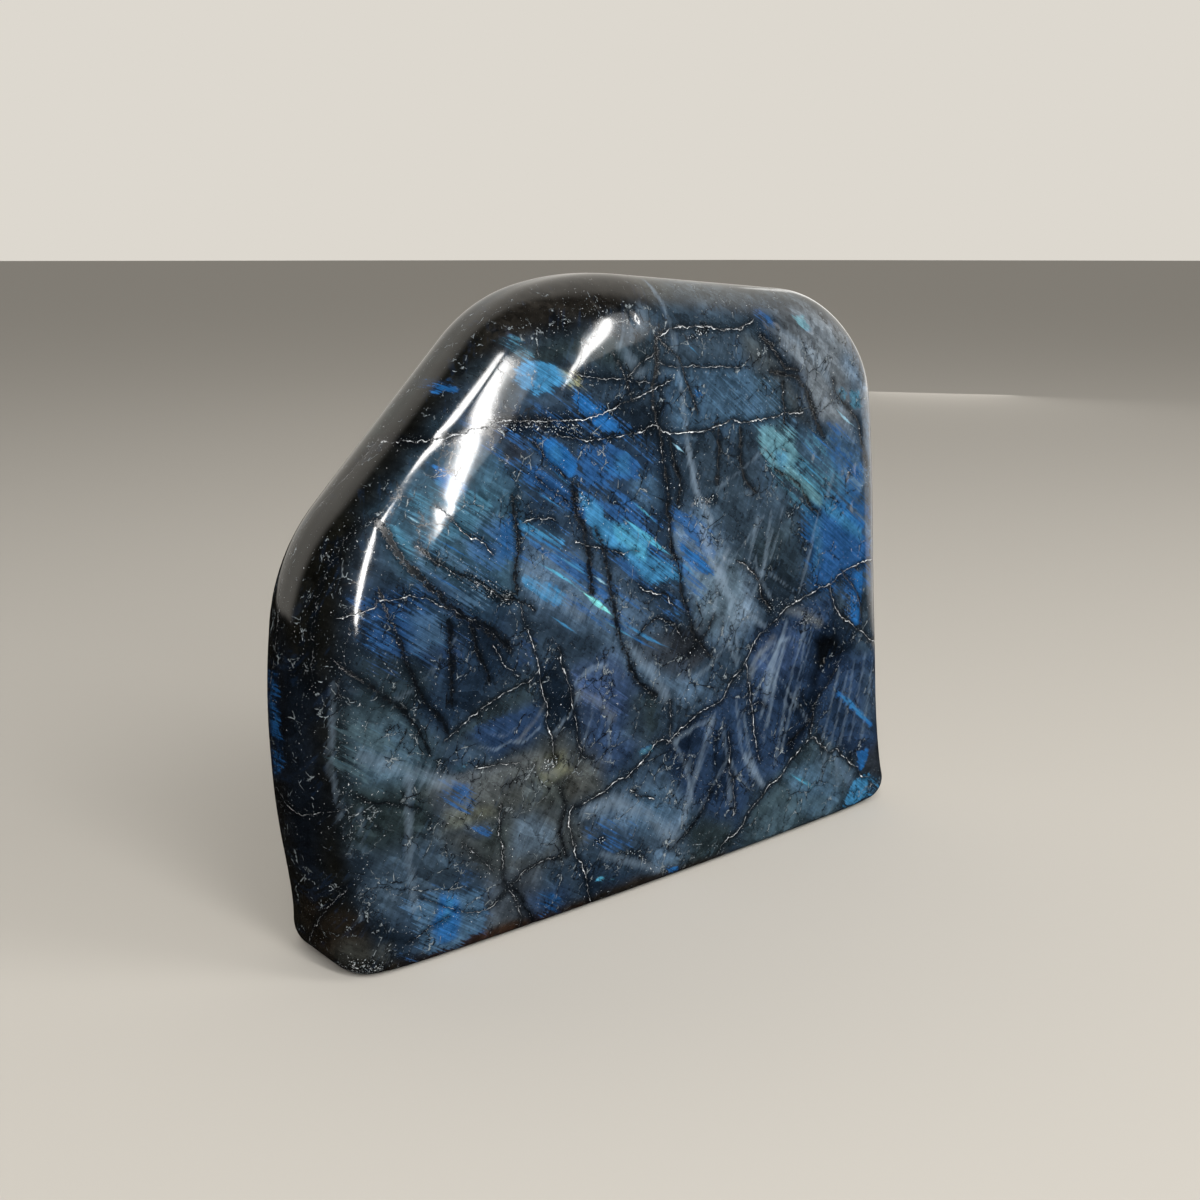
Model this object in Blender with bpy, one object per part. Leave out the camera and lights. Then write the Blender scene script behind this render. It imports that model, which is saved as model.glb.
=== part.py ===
"""Labradorite freeform: one polished slab of stone, cut flat below so that it stands on edge.

Frame: metres, +Z up. The origin is the middle of the flat base. The broad front face looks along -Y, and
+X runs along it to the right. The slab's outline is a polygon with rounded corners; a rim rolls over from
each broad face to the edge, deep on the left and the top, tighter on the right and at the base.
"""

import math

import bmesh
import bpy
import numpy as np

NODE = "labradorite_freeform"
MM = 0.001

# Outline seen from the front, anticlockwise from the base's right end: x, z and the rounding radius, in mm.
OUTLINE = {
    "base_right": (79.0, 0.0, 6.0),
    "right_side": (70.0, 61.0, 300.0),
    "top_right": (65.7, 126.5, 25.0),
    "top_left": (-15.3, 132.3, 80.0),
    "shoulder_top": (-35.8, 127.6, 35.0),
    "shoulder_foot": (-81.2, 80.8, 40.0),
    "left_bulge": (-84.4, 54.4, 160.0),
    "left_tuck": (-83.8, 32.0, 130.0),
    "base_left": (-79.0, 0.0, 7.0),
}
# The four corners between which a broad face's quads are stretched, in the same order.
PATCH_CORNERS = ("base_right", "top_right", "shoulder_foot", "base_left")

# Thickness, in mm: half of it at the middle of the face, and how far the crowned faces fall away from there
# to the ends (x = +-CROWN_X) and to the base and top (z = CROWN_Z +- CROWN_Z).
HALF_THICKNESS = 19.4
CROWN_X = 80.0
CROWN_Z = 65.0
FALL_X = 1.8
FALL_Z = 4.0

# Rim, in mm: how far in from the outline the face starts to roll over.
RIM_LEFT = 25.0
RIM_TOP = 19.0
RIM_RIGHT = 10.6
RIM_BASE = 3.6
LOW_Z = 30.0  # below this height the side rims get tighter
LOW_KEEP = 0.45  # the share of the side rims' depth that is left at the base
ROLL_SHARE = 0.92  # the share of the half thickness that the roll takes on the sides
SQUARENESS = 2.2  # exponent of the rim's superellipse: 2 is a circle, more is squarer
EASE = 6.0  # how far along the outline one kind of rim runs into the next

# Mesh: quads along and up each broad face, loops on each half of the rim, and how many mm of outline one
# radian of turn counts for when points are shared out, so that the tight corners get more of them.
COLUMNS = 38
ROWS = 30
RIM_LOOPS = 7
TURN_WEIGHT = 14.0
OUTLINE_STEP = 0.5
EVENING_PASSES = 600  # how often the face's inner points move to the middle of their four neighbours
CORNER_SHARE = 0.49  # the most of a side's length that one rounded corner may take
WELD = 0.01  # points this close, in mm, are one: the last loop of the front rim and the first of the back one
SMOOTH_ANGLE = 40.0  # in degrees: faces that meet at less are shaded as one surface

STONE_COLOUR = (0.035, 0.055, 0.105, 1.0)
STONE_ROUGHNESS = 0.12
STONE_IOR = 1.56


def clear_scene():
    """Removes every object of the startup scene."""
    for obj in list(bpy.data.objects):
        bpy.data.objects.remove(obj, do_unlink=True)


def corner_arc(before, corner, after, radius):
    """Points every OUTLINE_STEP along the arc that rounds a corner, with their outward normals' angles."""
    back = (before - corner) / np.linalg.norm(before - corner)
    ahead = (after - corner) / np.linalg.norm(after - corner)
    half_angle = 0.5 * math.acos(back @ ahead)
    room = CORNER_SHARE * min(np.linalg.norm(before - corner), np.linalg.norm(after - corner))
    reach = min(radius / math.tan(half_angle), room)
    radius = reach * math.tan(half_angle)
    towards_centre = (back + ahead) / np.linalg.norm(back + ahead)
    centre = corner + towards_centre * radius / math.sin(half_angle)
    bulges = math.copysign(1.0, ahead[0] * back[1] - ahead[1] * back[0])  # -1 where the outline is hollow
    turn = bulges * (math.pi - 2.0 * half_angle)
    start = bulges * (corner + back * reach - centre)
    first = math.atan2(start[1], start[0])
    steps = max(2, math.ceil(radius * abs(turn) / OUTLINE_STEP))
    angles = first + turn * np.linspace(0.0, 1.0, steps + 1)
    points = centre + bulges * radius * np.column_stack((np.cos(angles), np.sin(angles)))
    return points, angles


def rounded_outline():
    """The closed outline as dense points, their normals' angles, and the measure that shares points out."""
    corners = np.array([value[:2] for value in OUTLINE.values()])
    radii = [value[2] for value in OUTLINE.values()]
    points, angles, middles = [], [], []
    for i, radius in enumerate(radii):
        arc, turned = corner_arc(corners[i - 1], corners[i], corners[(i + 1) % len(corners)], radius)
        middles.append(sum(map(len, points)) + len(arc) // 2)
        points.append(arc)
        angles.append(turned)
    points = np.vstack(points)
    angles = np.unwrap(np.concatenate(angles))
    lengths = np.linalg.norm(np.diff(points, axis=0, append=points[:1]), axis=1)
    turns = np.diff(angles, append=angles[0] + 2.0 * math.pi)
    measure = np.concatenate(([0.0], np.cumsum(lengths + TURN_WEIGHT * np.abs(turns))))
    return points, angles, measure, dict(zip(OUTLINE, middles))


def loop_positions(measure, middles):
    """Places along the outline's measure: an even share of points on each side of the four-cornered patch."""
    marks = [measure[middles[name]] for name in PATCH_CORNERS]
    marks.append(marks[0] + measure[-1])
    counts = (ROWS, COLUMNS, ROWS, COLUMNS)
    sides = [np.linspace(a, b, n, endpoint=False) for a, b, n in zip(marks, marks[1:], counts)]
    return np.concatenate(sides)


def eased(values, step):
    """Values along the closed outline, blurred so that they change over about EASE millimetres."""
    count = len(values)
    away = np.minimum(np.arange(count), count - np.arange(count)) * step
    weights = np.exp(-0.5 * (away / EASE) ** 2)
    spectrum = np.fft.rfft(values, axis=0).T * np.fft.rfft(weights / weights.sum())
    return np.fft.irfft(spectrum, n=count, axis=-1).T


def outline_loop():
    """Outline points, inward directions, rim depths and roll shares at the loop's positions."""
    points, angles, measure, middles = rounded_outline()
    closed = np.vstack((points, points[:1]))
    arc_length = np.concatenate(([0.0], np.cumsum(np.linalg.norm(np.diff(closed, axis=0), axis=1))))
    count = round(arc_length[-1] / OUTLINE_STEP)
    even = np.linspace(0.0, arc_length[-1], count, endpoint=False)
    x = np.interp(even, arc_length, closed[:, 0])
    z = np.interp(even, arc_length, closed[:, 1])
    turned = np.interp(even, arc_length, np.append(angles, angles[0] + 2.0 * math.pi))
    outward = np.column_stack((np.cos(turned), np.sin(turned)))

    right, left = np.maximum(outward[:, 0], 0.0) ** 2, np.maximum(-outward[:, 0], 0.0) ** 2
    up, down = np.maximum(outward[:, 1], 0.0) ** 2, np.maximum(-outward[:, 1], 0.0) ** 2
    low = np.clip(1.0 - z / LOW_Z, 0.0, 1.0)
    low = low * low * (3.0 - 2.0 * low)
    side_rim = (RIM_LEFT * left + RIM_RIGHT * right + RIM_TOP * up) * (1.0 - low * (1.0 - LOW_KEEP))
    step = arc_length[-1] / count
    rim = eased(side_rim + RIM_BASE * down, step)
    base_share = eased(down, step)
    outward = eased(outward, step)
    outward /= np.linalg.norm(outward, axis=1)[:, None]

    wanted = loop_positions(measure, middles) % measure[-1]
    along = np.interp(wanted, measure, arc_length)

    def at(values):
        return np.interp(along, np.append(even, arc_length[-1]), np.append(values, values[0]))

    return (
        np.column_stack((at(x), at(z))),
        -np.column_stack((at(outward[:, 0]), at(outward[:, 1]))),
        at(rim),
        at(base_share),
    )


def half_thickness(x, z):
    """Half the slab's thickness at a point of its broad face, in mm."""
    return HALF_THICKNESS - FALL_X * (x / CROWN_X) ** 2 - FALL_Z * ((z - CROWN_Z) / CROWN_Z) ** 2


def rim_loop(loop, angle, side):
    """One closed loop of the rim, in mm. The angle is 0 at the broad face and 90 degrees at the edge."""
    points, inward, rim, base_share = loop
    power = 2.0 / SQUARENESS
    inset = rim * (1.0 - math.sin(angle) ** power)
    placed = points + inward * inset[:, None]
    x, z = placed[:, 0], np.maximum(placed[:, 1], 0.0)
    half = half_thickness(x, z)
    roll = half * ROLL_SHARE * (1.0 - base_share) + RIM_BASE * base_share
    y = side * (half - roll + roll * math.cos(angle) ** power)
    return np.column_stack((x, y, z))


def face_grid(border, side):
    """Points across one broad face, as an array of columns by rows whose edges are the border loop."""
    u = np.linspace(0.0, 1.0, COLUMNS + 1)[:, None, None]
    v = np.linspace(0.0, 1.0, ROWS + 1)[None, :, None]
    closed = np.vstack((border, border[:1]))
    right = closed[None, : ROWS + 1]
    top = closed[ROWS : ROWS + COLUMNS + 1][::-1, None]
    left = closed[None, ROWS + COLUMNS : 2 * ROWS + COLUMNS + 1][:, ::-1]
    bottom = closed[2 * ROWS + COLUMNS :][:, None]
    ends = (
        (1 - u) * (1 - v) * bottom[:1]
        + u * (1 - v) * bottom[-1:]
        + u * v * top[-1:]
        + (1 - u) * v * top[:1]
    )
    grid = (1 - v) * bottom + v * top + (1 - u) * left + u * right - ends
    for _ in range(EVENING_PASSES):
        around = grid[:-2, 1:-1] + grid[2:, 1:-1] + grid[1:-1, :-2] + grid[1:-1, 2:]
        grid[1:-1, 1:-1] = 0.25 * around
    inner = grid[1:-1, 1:-1]
    inner[..., 1] = side * half_thickness(inner[..., 0], inner[..., 2])
    return grid


def add_broad_face(bm, border, side):
    """Quads across one broad face, crowned between its border's points."""
    verts = [[bm.verts.new(point) for point in column] for column in face_grid(border, side)]
    for near, far in zip(verts, verts[1:]):
        for row in range(ROWS):
            bm.faces.new((near[row], far[row], far[row + 1], near[row + 1]))


def add_rim(bm, loops):
    """Quads between each closed loop and the next."""
    rings = [[bm.verts.new(point) for point in points] for points in loops]
    for ring, following in zip(rings, rings[1:]):
        for i in range(len(ring)):
            bm.faces.new((ring[i - 1], ring[i], following[i], following[i - 1]))


def stone_material():
    """Polished labradorite: near-black blue feldspar with a hard, wet-looking gloss."""
    material = bpy.data.materials.new("polished_labradorite")
    material.use_nodes = True
    shader = material.node_tree.nodes["Principled BSDF"]
    shader.inputs["Base Color"].default_value = STONE_COLOUR
    shader.inputs["Roughness"].default_value = STONE_ROUGHNESS
    shader.inputs["Metallic"].default_value = 0.0
    shader.inputs["IOR"].default_value = STONE_IOR
    material.diffuse_color = STONE_COLOUR
    return material


def build_stone():
    """The whole stone as one closed mesh, centred over the origin."""
    loop = outline_loop()
    angles = np.linspace(0.0, 0.5 * math.pi, RIM_LOOPS + 1)
    front = [rim_loop(loop, angle, -1.0) for angle in angles]
    back = [rim_loop(loop, angle, 1.0) for angle in angles[::-1]]
    bm = bmesh.new()
    add_broad_face(bm, front[0], -1.0)
    add_broad_face(bm, back[-1], 1.0)
    add_rim(bm, front + back)
    bmesh.ops.remove_doubles(bm, verts=bm.verts[:], dist=WELD)
    bmesh.ops.recalc_face_normals(bm, faces=bm.faces[:])
    spread = [vert.co.x for vert in bm.verts]
    middle = 0.5 * (min(spread) + max(spread))
    bmesh.ops.translate(bm, verts=bm.verts[:], vec=(-middle, 0.0, 0.0))
    bmesh.ops.scale(bm, verts=bm.verts[:], vec=(MM, MM, MM))
    mesh = bpy.data.meshes.new(NODE)
    bm.to_mesh(mesh)
    bm.free()
    mesh.shade_smooth()
    mesh.set_sharp_from_angle(angle=math.radians(SMOOTH_ANGLE))
    mesh.materials.append(stone_material())
    stone = bpy.data.objects.new(NODE, mesh)
    bpy.context.scene.collection.objects.link(stone)
    return stone


clear_scene()
build_stone()
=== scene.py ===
"""Labradorite freeform: the look of one polished slab of dark feldspar that stands on its flat base.

The stone keeps the outline, thickness and rolled rim of its CAD solid, in a far finer mesh. Its marks are
laid out in millimetres on the front (x to the right, z up), the back and the two ends: grounds of
different tone, flashes of blue, milky veils, healed seams and open fractures. The material draws them with
the stone's own grain: lamellae that all run one way, blocks, hairlines and specks.
"""

import logging
import math
from collections.abc import Iterable, Sequence
from dataclasses import dataclass
from enum import Enum

import bpy
import numpy as np
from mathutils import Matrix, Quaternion, Vector


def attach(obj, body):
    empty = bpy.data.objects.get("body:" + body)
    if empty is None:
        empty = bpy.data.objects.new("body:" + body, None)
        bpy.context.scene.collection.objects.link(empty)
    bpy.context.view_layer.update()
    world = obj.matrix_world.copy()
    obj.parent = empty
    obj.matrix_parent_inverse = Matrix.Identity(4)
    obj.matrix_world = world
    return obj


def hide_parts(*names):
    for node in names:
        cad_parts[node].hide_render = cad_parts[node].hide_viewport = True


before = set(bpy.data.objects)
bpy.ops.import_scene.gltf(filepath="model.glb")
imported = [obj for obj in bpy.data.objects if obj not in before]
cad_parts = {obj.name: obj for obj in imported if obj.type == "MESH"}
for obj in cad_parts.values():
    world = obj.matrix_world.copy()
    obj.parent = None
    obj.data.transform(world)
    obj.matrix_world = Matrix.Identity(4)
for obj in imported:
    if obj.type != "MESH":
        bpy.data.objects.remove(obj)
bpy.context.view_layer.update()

CAD_NODE = "labradorite_freeform"
MM = 0.001
LOG = logging.getLogger("labradorite")
Tree = bpy.types.NodeTree
Socket = bpy.types.NodeSocket
Size = tuple[float, float, float]


class Side(Enum):
    """The side of the stone that a mark is on, as (index of its sideways axis, direction that it faces)."""

    FRONT = (0, (0.0, -1.0, 0.0))
    BACK = (0, (0.0, 1.0, 0.0))
    LEFT = (1, (-1.0, 0.0, 0.0))
    RIGHT = (1, (1.0, 0.0, 0.0))


class Tone(Enum):
    """The stone's colours, as sRGB hex."""

    BODY = "#263442"
    INK = "#05080c"
    SOOT = "#0f0f0c"
    UMBER = "#241f19"
    # Painted reflection: the brown that the rolled edge along the base mirrors.
    RUST = "#2d1e16"
    MIDNIGHT = "#09131f"
    NAVY = "#152334"
    INDIGO = "#213450"
    VIOLET = "#374a6c"
    SLATE = "#33424f"
    STEEL = "#3f5a72"
    HAZE = "#526980"
    MIST = "#76889a"
    LILAC = "#62696f"
    SAGE = "#394b53"
    MOSS = "#252f2e"
    TAUPE = "#464a48"
    STRAW = "#7f8062"
    DEEP_TEAL = "#2f4c5c"
    TEAL = "#3a6479"
    PALE_TEAL = "#5c8794"
    DEEP_ROYAL = "#17426f"
    ROYAL = "#244b7a"
    COBALT = "#215a94"
    AZURE = "#38759f"
    CYAN = "#4fa0c0"
    TURQUOISE = "#79d4d8"
    CREAM = "#d6dade"
    CHALK = "#a4afb5"

    @property
    def rgb(self) -> tuple[float, float, float]:
        """The tone in linear light."""
        return linear(self.value)

    @property
    def rgba(self) -> tuple[float, float, float, float]:
        """The tone in linear light, with a full alpha."""
        return (*linear(self.value), 1.0)


def linear(colour: str) -> tuple[float, float, float]:
    """Turns an sRGB hex colour to linear light.

    Args:
        colour: a hex colour such as "#27313e".

    Returns:
        Red, green and blue from 0 to 1.
    """
    parts = (int(colour[i : i + 2], 16) / 255.0 for i in (1, 3, 5))
    return tuple(p / 12.92 if p <= 0.04045 else ((p + 0.055) / 1.055) ** 2.4 for p in parts)


@dataclass(frozen=True)
class Patch:
    """An area of one tone: inside a closed outline, or within reach of an open route."""

    side: Side
    places: np.ndarray  # sideways and up, in mm
    tone: Tone
    strength: float
    soft: float  # mm over which its edge fades
    reach: float = 0.0  # mm to each side of an open route; 0 means a closed outline


@dataclass(frozen=True)
class Line:
    """A seam, a fracture or a thin flash along an open route."""

    side: Side
    places: np.ndarray  # sideways and up, in mm
    half_width: float  # mm
    tint: float  # seams: 0 all black, 1 all pale; thin flashes: 0 royal blue to 1 turquoise


def marks(text: str) -> list[tuple[Side, np.ndarray, list[str]]]:
    """Reads rows of listed marks.

    Args:
        text: on each row a mark's own values, a bar and its places as "x,z x,z" in mm, which may run on over
            the next row. The name of a side stands above its marks, and remarks start with #.

    Returns:
        Each mark's side, places and own values.
    """
    side, found = Side.FRONT, []
    for row in text.strip().splitlines():
        values, bar, places = row.partition("|")
        if bar:
            found.append((side, values.split(), places.split()))
        elif row.strip() in Side.__members__:
            side = Side[row.strip()]
        elif not row.strip().startswith("#"):
            found[-1][2].extend(row.split())
    return [(side, np.array([p.split(",") for p in places], float), values) for side, values, places in found]


def patches(text: str) -> tuple[Patch, ...]:
    """Reads patches from rows of tone, strength, softness and, for an open route, reach."""
    found = ((side, places, Tone[values[0]], *map(float, values[1:])) for side, places, values in marks(text))
    return tuple(Patch(*mark) for mark in found)


def lines(text: str) -> tuple[Line, ...]:
    """Reads lines from rows of half width and tint."""
    return tuple(Line(side, places, *map(float, values)) for side, places, values in marks(text))


# Grounds, laid one over the other from the widest to the smallest.
# The left end: sooty, and brown at its foot.
# The rolled edges beyond the broad face. The umber and brown band along the base is a painted reflection of a
# brown surface below.
GROUND = patches("""
SOOT 0.92 3.5 | -84,40 -84,82 -40,133 6,134 6,126 -8,125 -20,122 -32,119 -42,113 -52,104 -64,92 -73,80
    -77,66 -77.5,40
SOOT 0.95 3.0 | -84,-2 -84,60 -78,60 -76.5,45 -76,25 -74,8 -70,-2
MOSS 0.7 3.0 | -42,112 -32,118 -20,121 -4,123 -4,114 -14,113 -24,116 -33,113 -38,108
UMBER 0.45 4.0 | -50,118 -35,130 0,133 2,127 -20,124 -38,117
TAUPE 0.5 4.0 | 0,133 60,129 70,116 68,110 58,121 34,125 0,126
SLATE 0.6 3.0 | -12,124 4,126 28,123 27,113 2,112 -12,114
DEEP_TEAL 0.55 4.0 | -64,90 -50,104 -42,100 -38,88 -40,72 -52,68 -62,72
HAZE 0.5 4.0 | -38,80 -24,79 -12,71 -1,57 -10,56 -26,64 -40,70
NAVY 0.7 3.0 | -74,76 -60,78 -44,76 -40,58 -56,48 -72,56
MOSS 0.5 2.5 | -73,66 -64,66 -58,60 -62,54 -72,56
MIDNIGHT 0.2 3.0 | -60,66 -42,62 -38,56 -45,53 -56,49 -62,56
NAVY 0.5 3.0 | -24,98 -2,99 0,84 -6,80 -14,86 -24,92
STEEL 0.5 2.0 | -12,93 -5,93 -4,86 -10,86
INK 0.55 1.5 | -45,106 -30,107 -22,105.5 -12,106.5 0,108 0,99.5 -8,100 -20,99.5 -27,100.5 -36,101 -44,103
UMBER 0.55 1.5 | -42.5,101 -37,101.5 -36,98 -40,97
STEEL 0.6 3.0 | 0,112 24,112 31,102 26,99 2,100
HAZE 0.8 2.5 | 1,84 8,80 13,73 9,66 3,70 0,77
MIST 0.6 2.0 | 2,80 8,78 9,72 4,73
STEEL 0.6 2.5 | 16,110 33,108 34,101 20,102 14,104
TAUPE 0.5 2.5 | 22,119 30,116 38,107 42,99 36,103 31,111 22,113
MOSS 0.45 2.0 | 24,111 30,111 37,103 34,99 27,104
SLATE 0.4 3.0 | 3,99 26,99 25,86 12,84 4,88
INK 0.1 3.0 | 5,97 20,97 20,88 8,88
LILAC 0.75 3.5 | 33,119 40,110 45,100 53,96 62,100 66,112 60,121 46,124 36,122
HAZE 0.55 3.0 | 60,118 66,108 64,70 60,66 57,80 58,100 54,112
STEEL 0.6 3.0 | 38,98 52,97 60,90 61,78 52,82 42,90
SLATE 0.5 3.0 | 10,88 32,92 42,82 44,66 28,62 12,70
MOSS 0.4 3.5 | 24,77 38,79 42,68 38,64 29,65 23,71
HAZE 0.6 4.0 | 1,80 8,86 14,78 22,70 27,60 22,54 10,54 4,62
MIST 0.45 4.0 | 8,76 13,76 22,66 25,58 16,55 8,60 6,68
SAGE 0.5 3.0 | 7,73 20,73 20,57 10,56 6,62
DEEP_ROYAL 0.9 3.0 | 44,79 52,76 62,70 62,66 55,63.5 47,60.5 43.5,62 42,70
MIDNIGHT 0.5 2.5 | 26,62 40,63 44,70 42,78 34,74 27,68
INDIGO 0.75 3.0 | 24,54 30,56 44,58 50,58 54,50 50,36 46,26 38,18 30,18 26,26 24,40
VIOLET 0.45 3.0 | 24,50 30,54 38,54 42,46 36,42 28,44
MIDNIGHT 0.85 3.0 | 44,50 52,53 60,48 60,43 53,38 46,30 42,33 45,42
INK 1.0 2.0 | 46,48 53,49 56,44 53,38 46,37.5
MIDNIGHT 0.7 2.5 | 36,40 46,34 46,26 40,20 36,22
INDIGO 0.75 3.0 | 48,40 56,42 68,42 78,40 80,20 70,14 60,18 50,24
SLATE 0.5 3.0 | 64,38 78,38 79,20 66,22
NAVY 0.55 2.5 | 50,34 58,38 62,24 56,20 50,24
SLATE 0.6 2.0 | 51,60 55,63.5 66,64.5 73,60 74,46 68,44.5 60,49 54,54
INDIGO 0.75 3.0 | 0,34 8,38 16,42 22,44 25,30 28,22 24,8 14,14 4,20
MIDNIGHT 0.6 2.5 | 1,34 8,37 9,25 4,22 1,26
MIDNIGHT 0.5 2.5 | 13,36 20,38 21,18 14,18
SAGE 0.6 3.0 | 27,8 34,15 40,20 48,24 56,19 62,14 64,4 56,-2 26,-2
STEEL 0.55 3.0 | 38,17 50,18 60,10 62,4 50,4 42,10
SLATE 0.6 2.0 | 49,22.5 54,19 62,14.5 68,9.5 60,8 54,12 48,17
MOSS 0.65 3.0 | 6,14 22,11 24,5 16,0 2,0
HAZE 0.5 3.0 | -4,18 6,16 10,6 4,-2 -4,4
UMBER 0.5 2.5 | 68,16 78,20 80,4 74,1 70,6
SAGE 0.6 3.0 | -77,56 -66,57 -58,46 -58,38 -74,38 -78,46
STEEL 0.25 3.5 | -74,50 -66,52 -60,44 -62,40 -73,41
MOSS 0.75 3.0 | -74,40 -60,39 -58,30 -66,26 -75,28
SLATE 0.6 3.0 | -72,28 -60,30 -52,24 -56,14 -70,15
INK 0.7 3.0 | -75,16 -68,15 -64,4 -62,-1 -76,-1
MOSS 0.5 2.0 | -56,47 -49,51 -41,54 -36,55 -35,50 -42,48 -50,47
INDIGO 0.8 2.0 | -51,47 -42,49 -34.5,49 -33.5,43 -38,40.5 -46,41
MIDNIGHT 0.8 1.5 | -34.5,57 -31,58 -27,50 -25,42 -31.5,40 -33,48
VIOLET 0.5 3.0 | -26,54 -14,58 -9,48 -8,36 -16,32 -24,38
INDIGO 0.5 3.0 | -22,50 -12,50 -8,40 -10,32 -20,30
MOSS 0.6 2.5 | -11,48 -5,47 -3,38 -8,36 -14,38 -13,44
HAZE 0.5 3.0 | -16,62 -4,54 4,50 8,44 2,42 -6,50 -16,56
TAUPE 0.8 3.5 | -60,38 -44,39 -30,41 -18,34 -18,27 -34,25 -46,28 -56,31
MOSS 0.35 2.5 | -38,34 -30,35 -24,31 -28,26 -38,28
LILAC 0.25 3.0 | -60,40 -48,37 -40,37 -36,34 -44,32 -58,36
UMBER 0.4 2.0 | -28,33 -24,35 -22,28 -27,26
STRAW 0.34 1.6 | -36,37 -29,37.4 -26,33 -33,31.5
STRAW 0.2 1.6 | -56,33 -46,31 -44,28 -56,29
TAUPE 0.6 3.0 | -58,29 -44,27 -28,25 -20,18 -28,14 -44,14 -50,18
HAZE 0.4 2.5 | -40,26 -34,26 -30,20 -34,16 -41,18
MOSS 0.5 2.5 | -50,27 -42,26 -41,20 -48,19
LILAC 0.35 3.0 | -46,14 -34,14 -32,6 -38,0 -46,2
INK 0.45 2.5 | -44,12 -37,14 -33,4 -38,0 -42,4
INDIGO 0.6 2.5 | -36,9 -26,8 -23,0 -34,-1
NAVY 0.65 2.5 | -22,12 -12,8 -2,0 -18,-1 -22,4
HAZE 0.55 3.0 | -20,25 -8,26 4,22 6,12 -6,14 -18,20
STEEL 0.6 2.5 | -12,24 -2,24 4,16 -4,13 -10,17
UMBER 0.55 2.0 | -12,58 -6,60 9,59 11,51 4,47 -2,50
# The rolled edges beyond the broad face.
ROYAL 0.7 3.0 | 69,100 72,100 76,66 73,58 70,62 69,80
TAUPE 0.5 2.0 | -77,8 -68,8 -66,-2 -78,-2
UMBER 0.9 2.0 | -70,4 -20,3.4 22,3 22,-3 -70,-3
RUST 0.8 1.4 | -62,2.2 -50,3.2 -34,2.4 -20,1.6 -20,-3 -62,-3
# The left end: sooty, with a rusty foot.
LEFT
SOOT 0.94 4.0 | -24,-4 24,-4 24,134 -24,134
MIDNIGHT 0.6 4.0 | -8,20 12,18 16,56 4,70 -10,60
MOSS 0.6 4.0 | 2,80 18,76 20,118 6,122
UMBER 0.7 3.0 | -20,12 -4,16 10,8 8,-2 -20,-2
TAUPE 0.5 2.5 | -18,8 -10,9 -8,-2 -18,-2
# The right end: deep blue between grey feathers.
RIGHT
NAVY 0.8 4.0 | -24,-4 24,-4 24,134 -24,134
DEEP_ROYAL 0.7 4.0 | -20,30 6,26 10,70 2,108 -20,104
SLATE 0.6 4.0 | 4,60 18,66 18,116 6,112
UMBER 0.6 3.0 | -14,18 4,20 10,4 -12,2
MOSS 0.6 3.0 | 6,40 18,36 16,8 8,10
# The back.
BACK
SOOT 0.85 4.0 | -86,-4 -86,84 -60,104 -66,60 -72,20 -70,-4
MOSS 0.7 6.0 | -60,104 -30,128 20,131 24,112 -20,108 -50,88
NAVY 0.7 6.0 | -66,80 -30,100 -6,84 -14,52 -44,44 -66,52
SLATE 0.7 5.0 | -4,104 34,112 62,104 58,78 22,70 0,82
INDIGO 0.7 5.0 | -10,66 24,68 40,40 20,18 -8,26
MIDNIGHT 0.7 5.0 | 40,70 76,76 80,34 56,26 42,44
SAGE 0.6 4.0 | 14,20 48,28 70,16 62,-2 12,-2
TAUPE 0.6 5.0 | -60,40 -20,46 -4,30 -26,20 -56,26
STEEL 0.5 4.0 | -52,24 -20,20 -8,4 -40,-2 -58,6
UMBER 0.6 3.0 | -30,46 -12,50 -6,38 -22,34
LILAC 0.6 4.0 | 30,124 62,120 70,98 56,92 40,106
INK 0.5 3.0 | -40,92 -8,96 0,88 -30,82
""")
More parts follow.
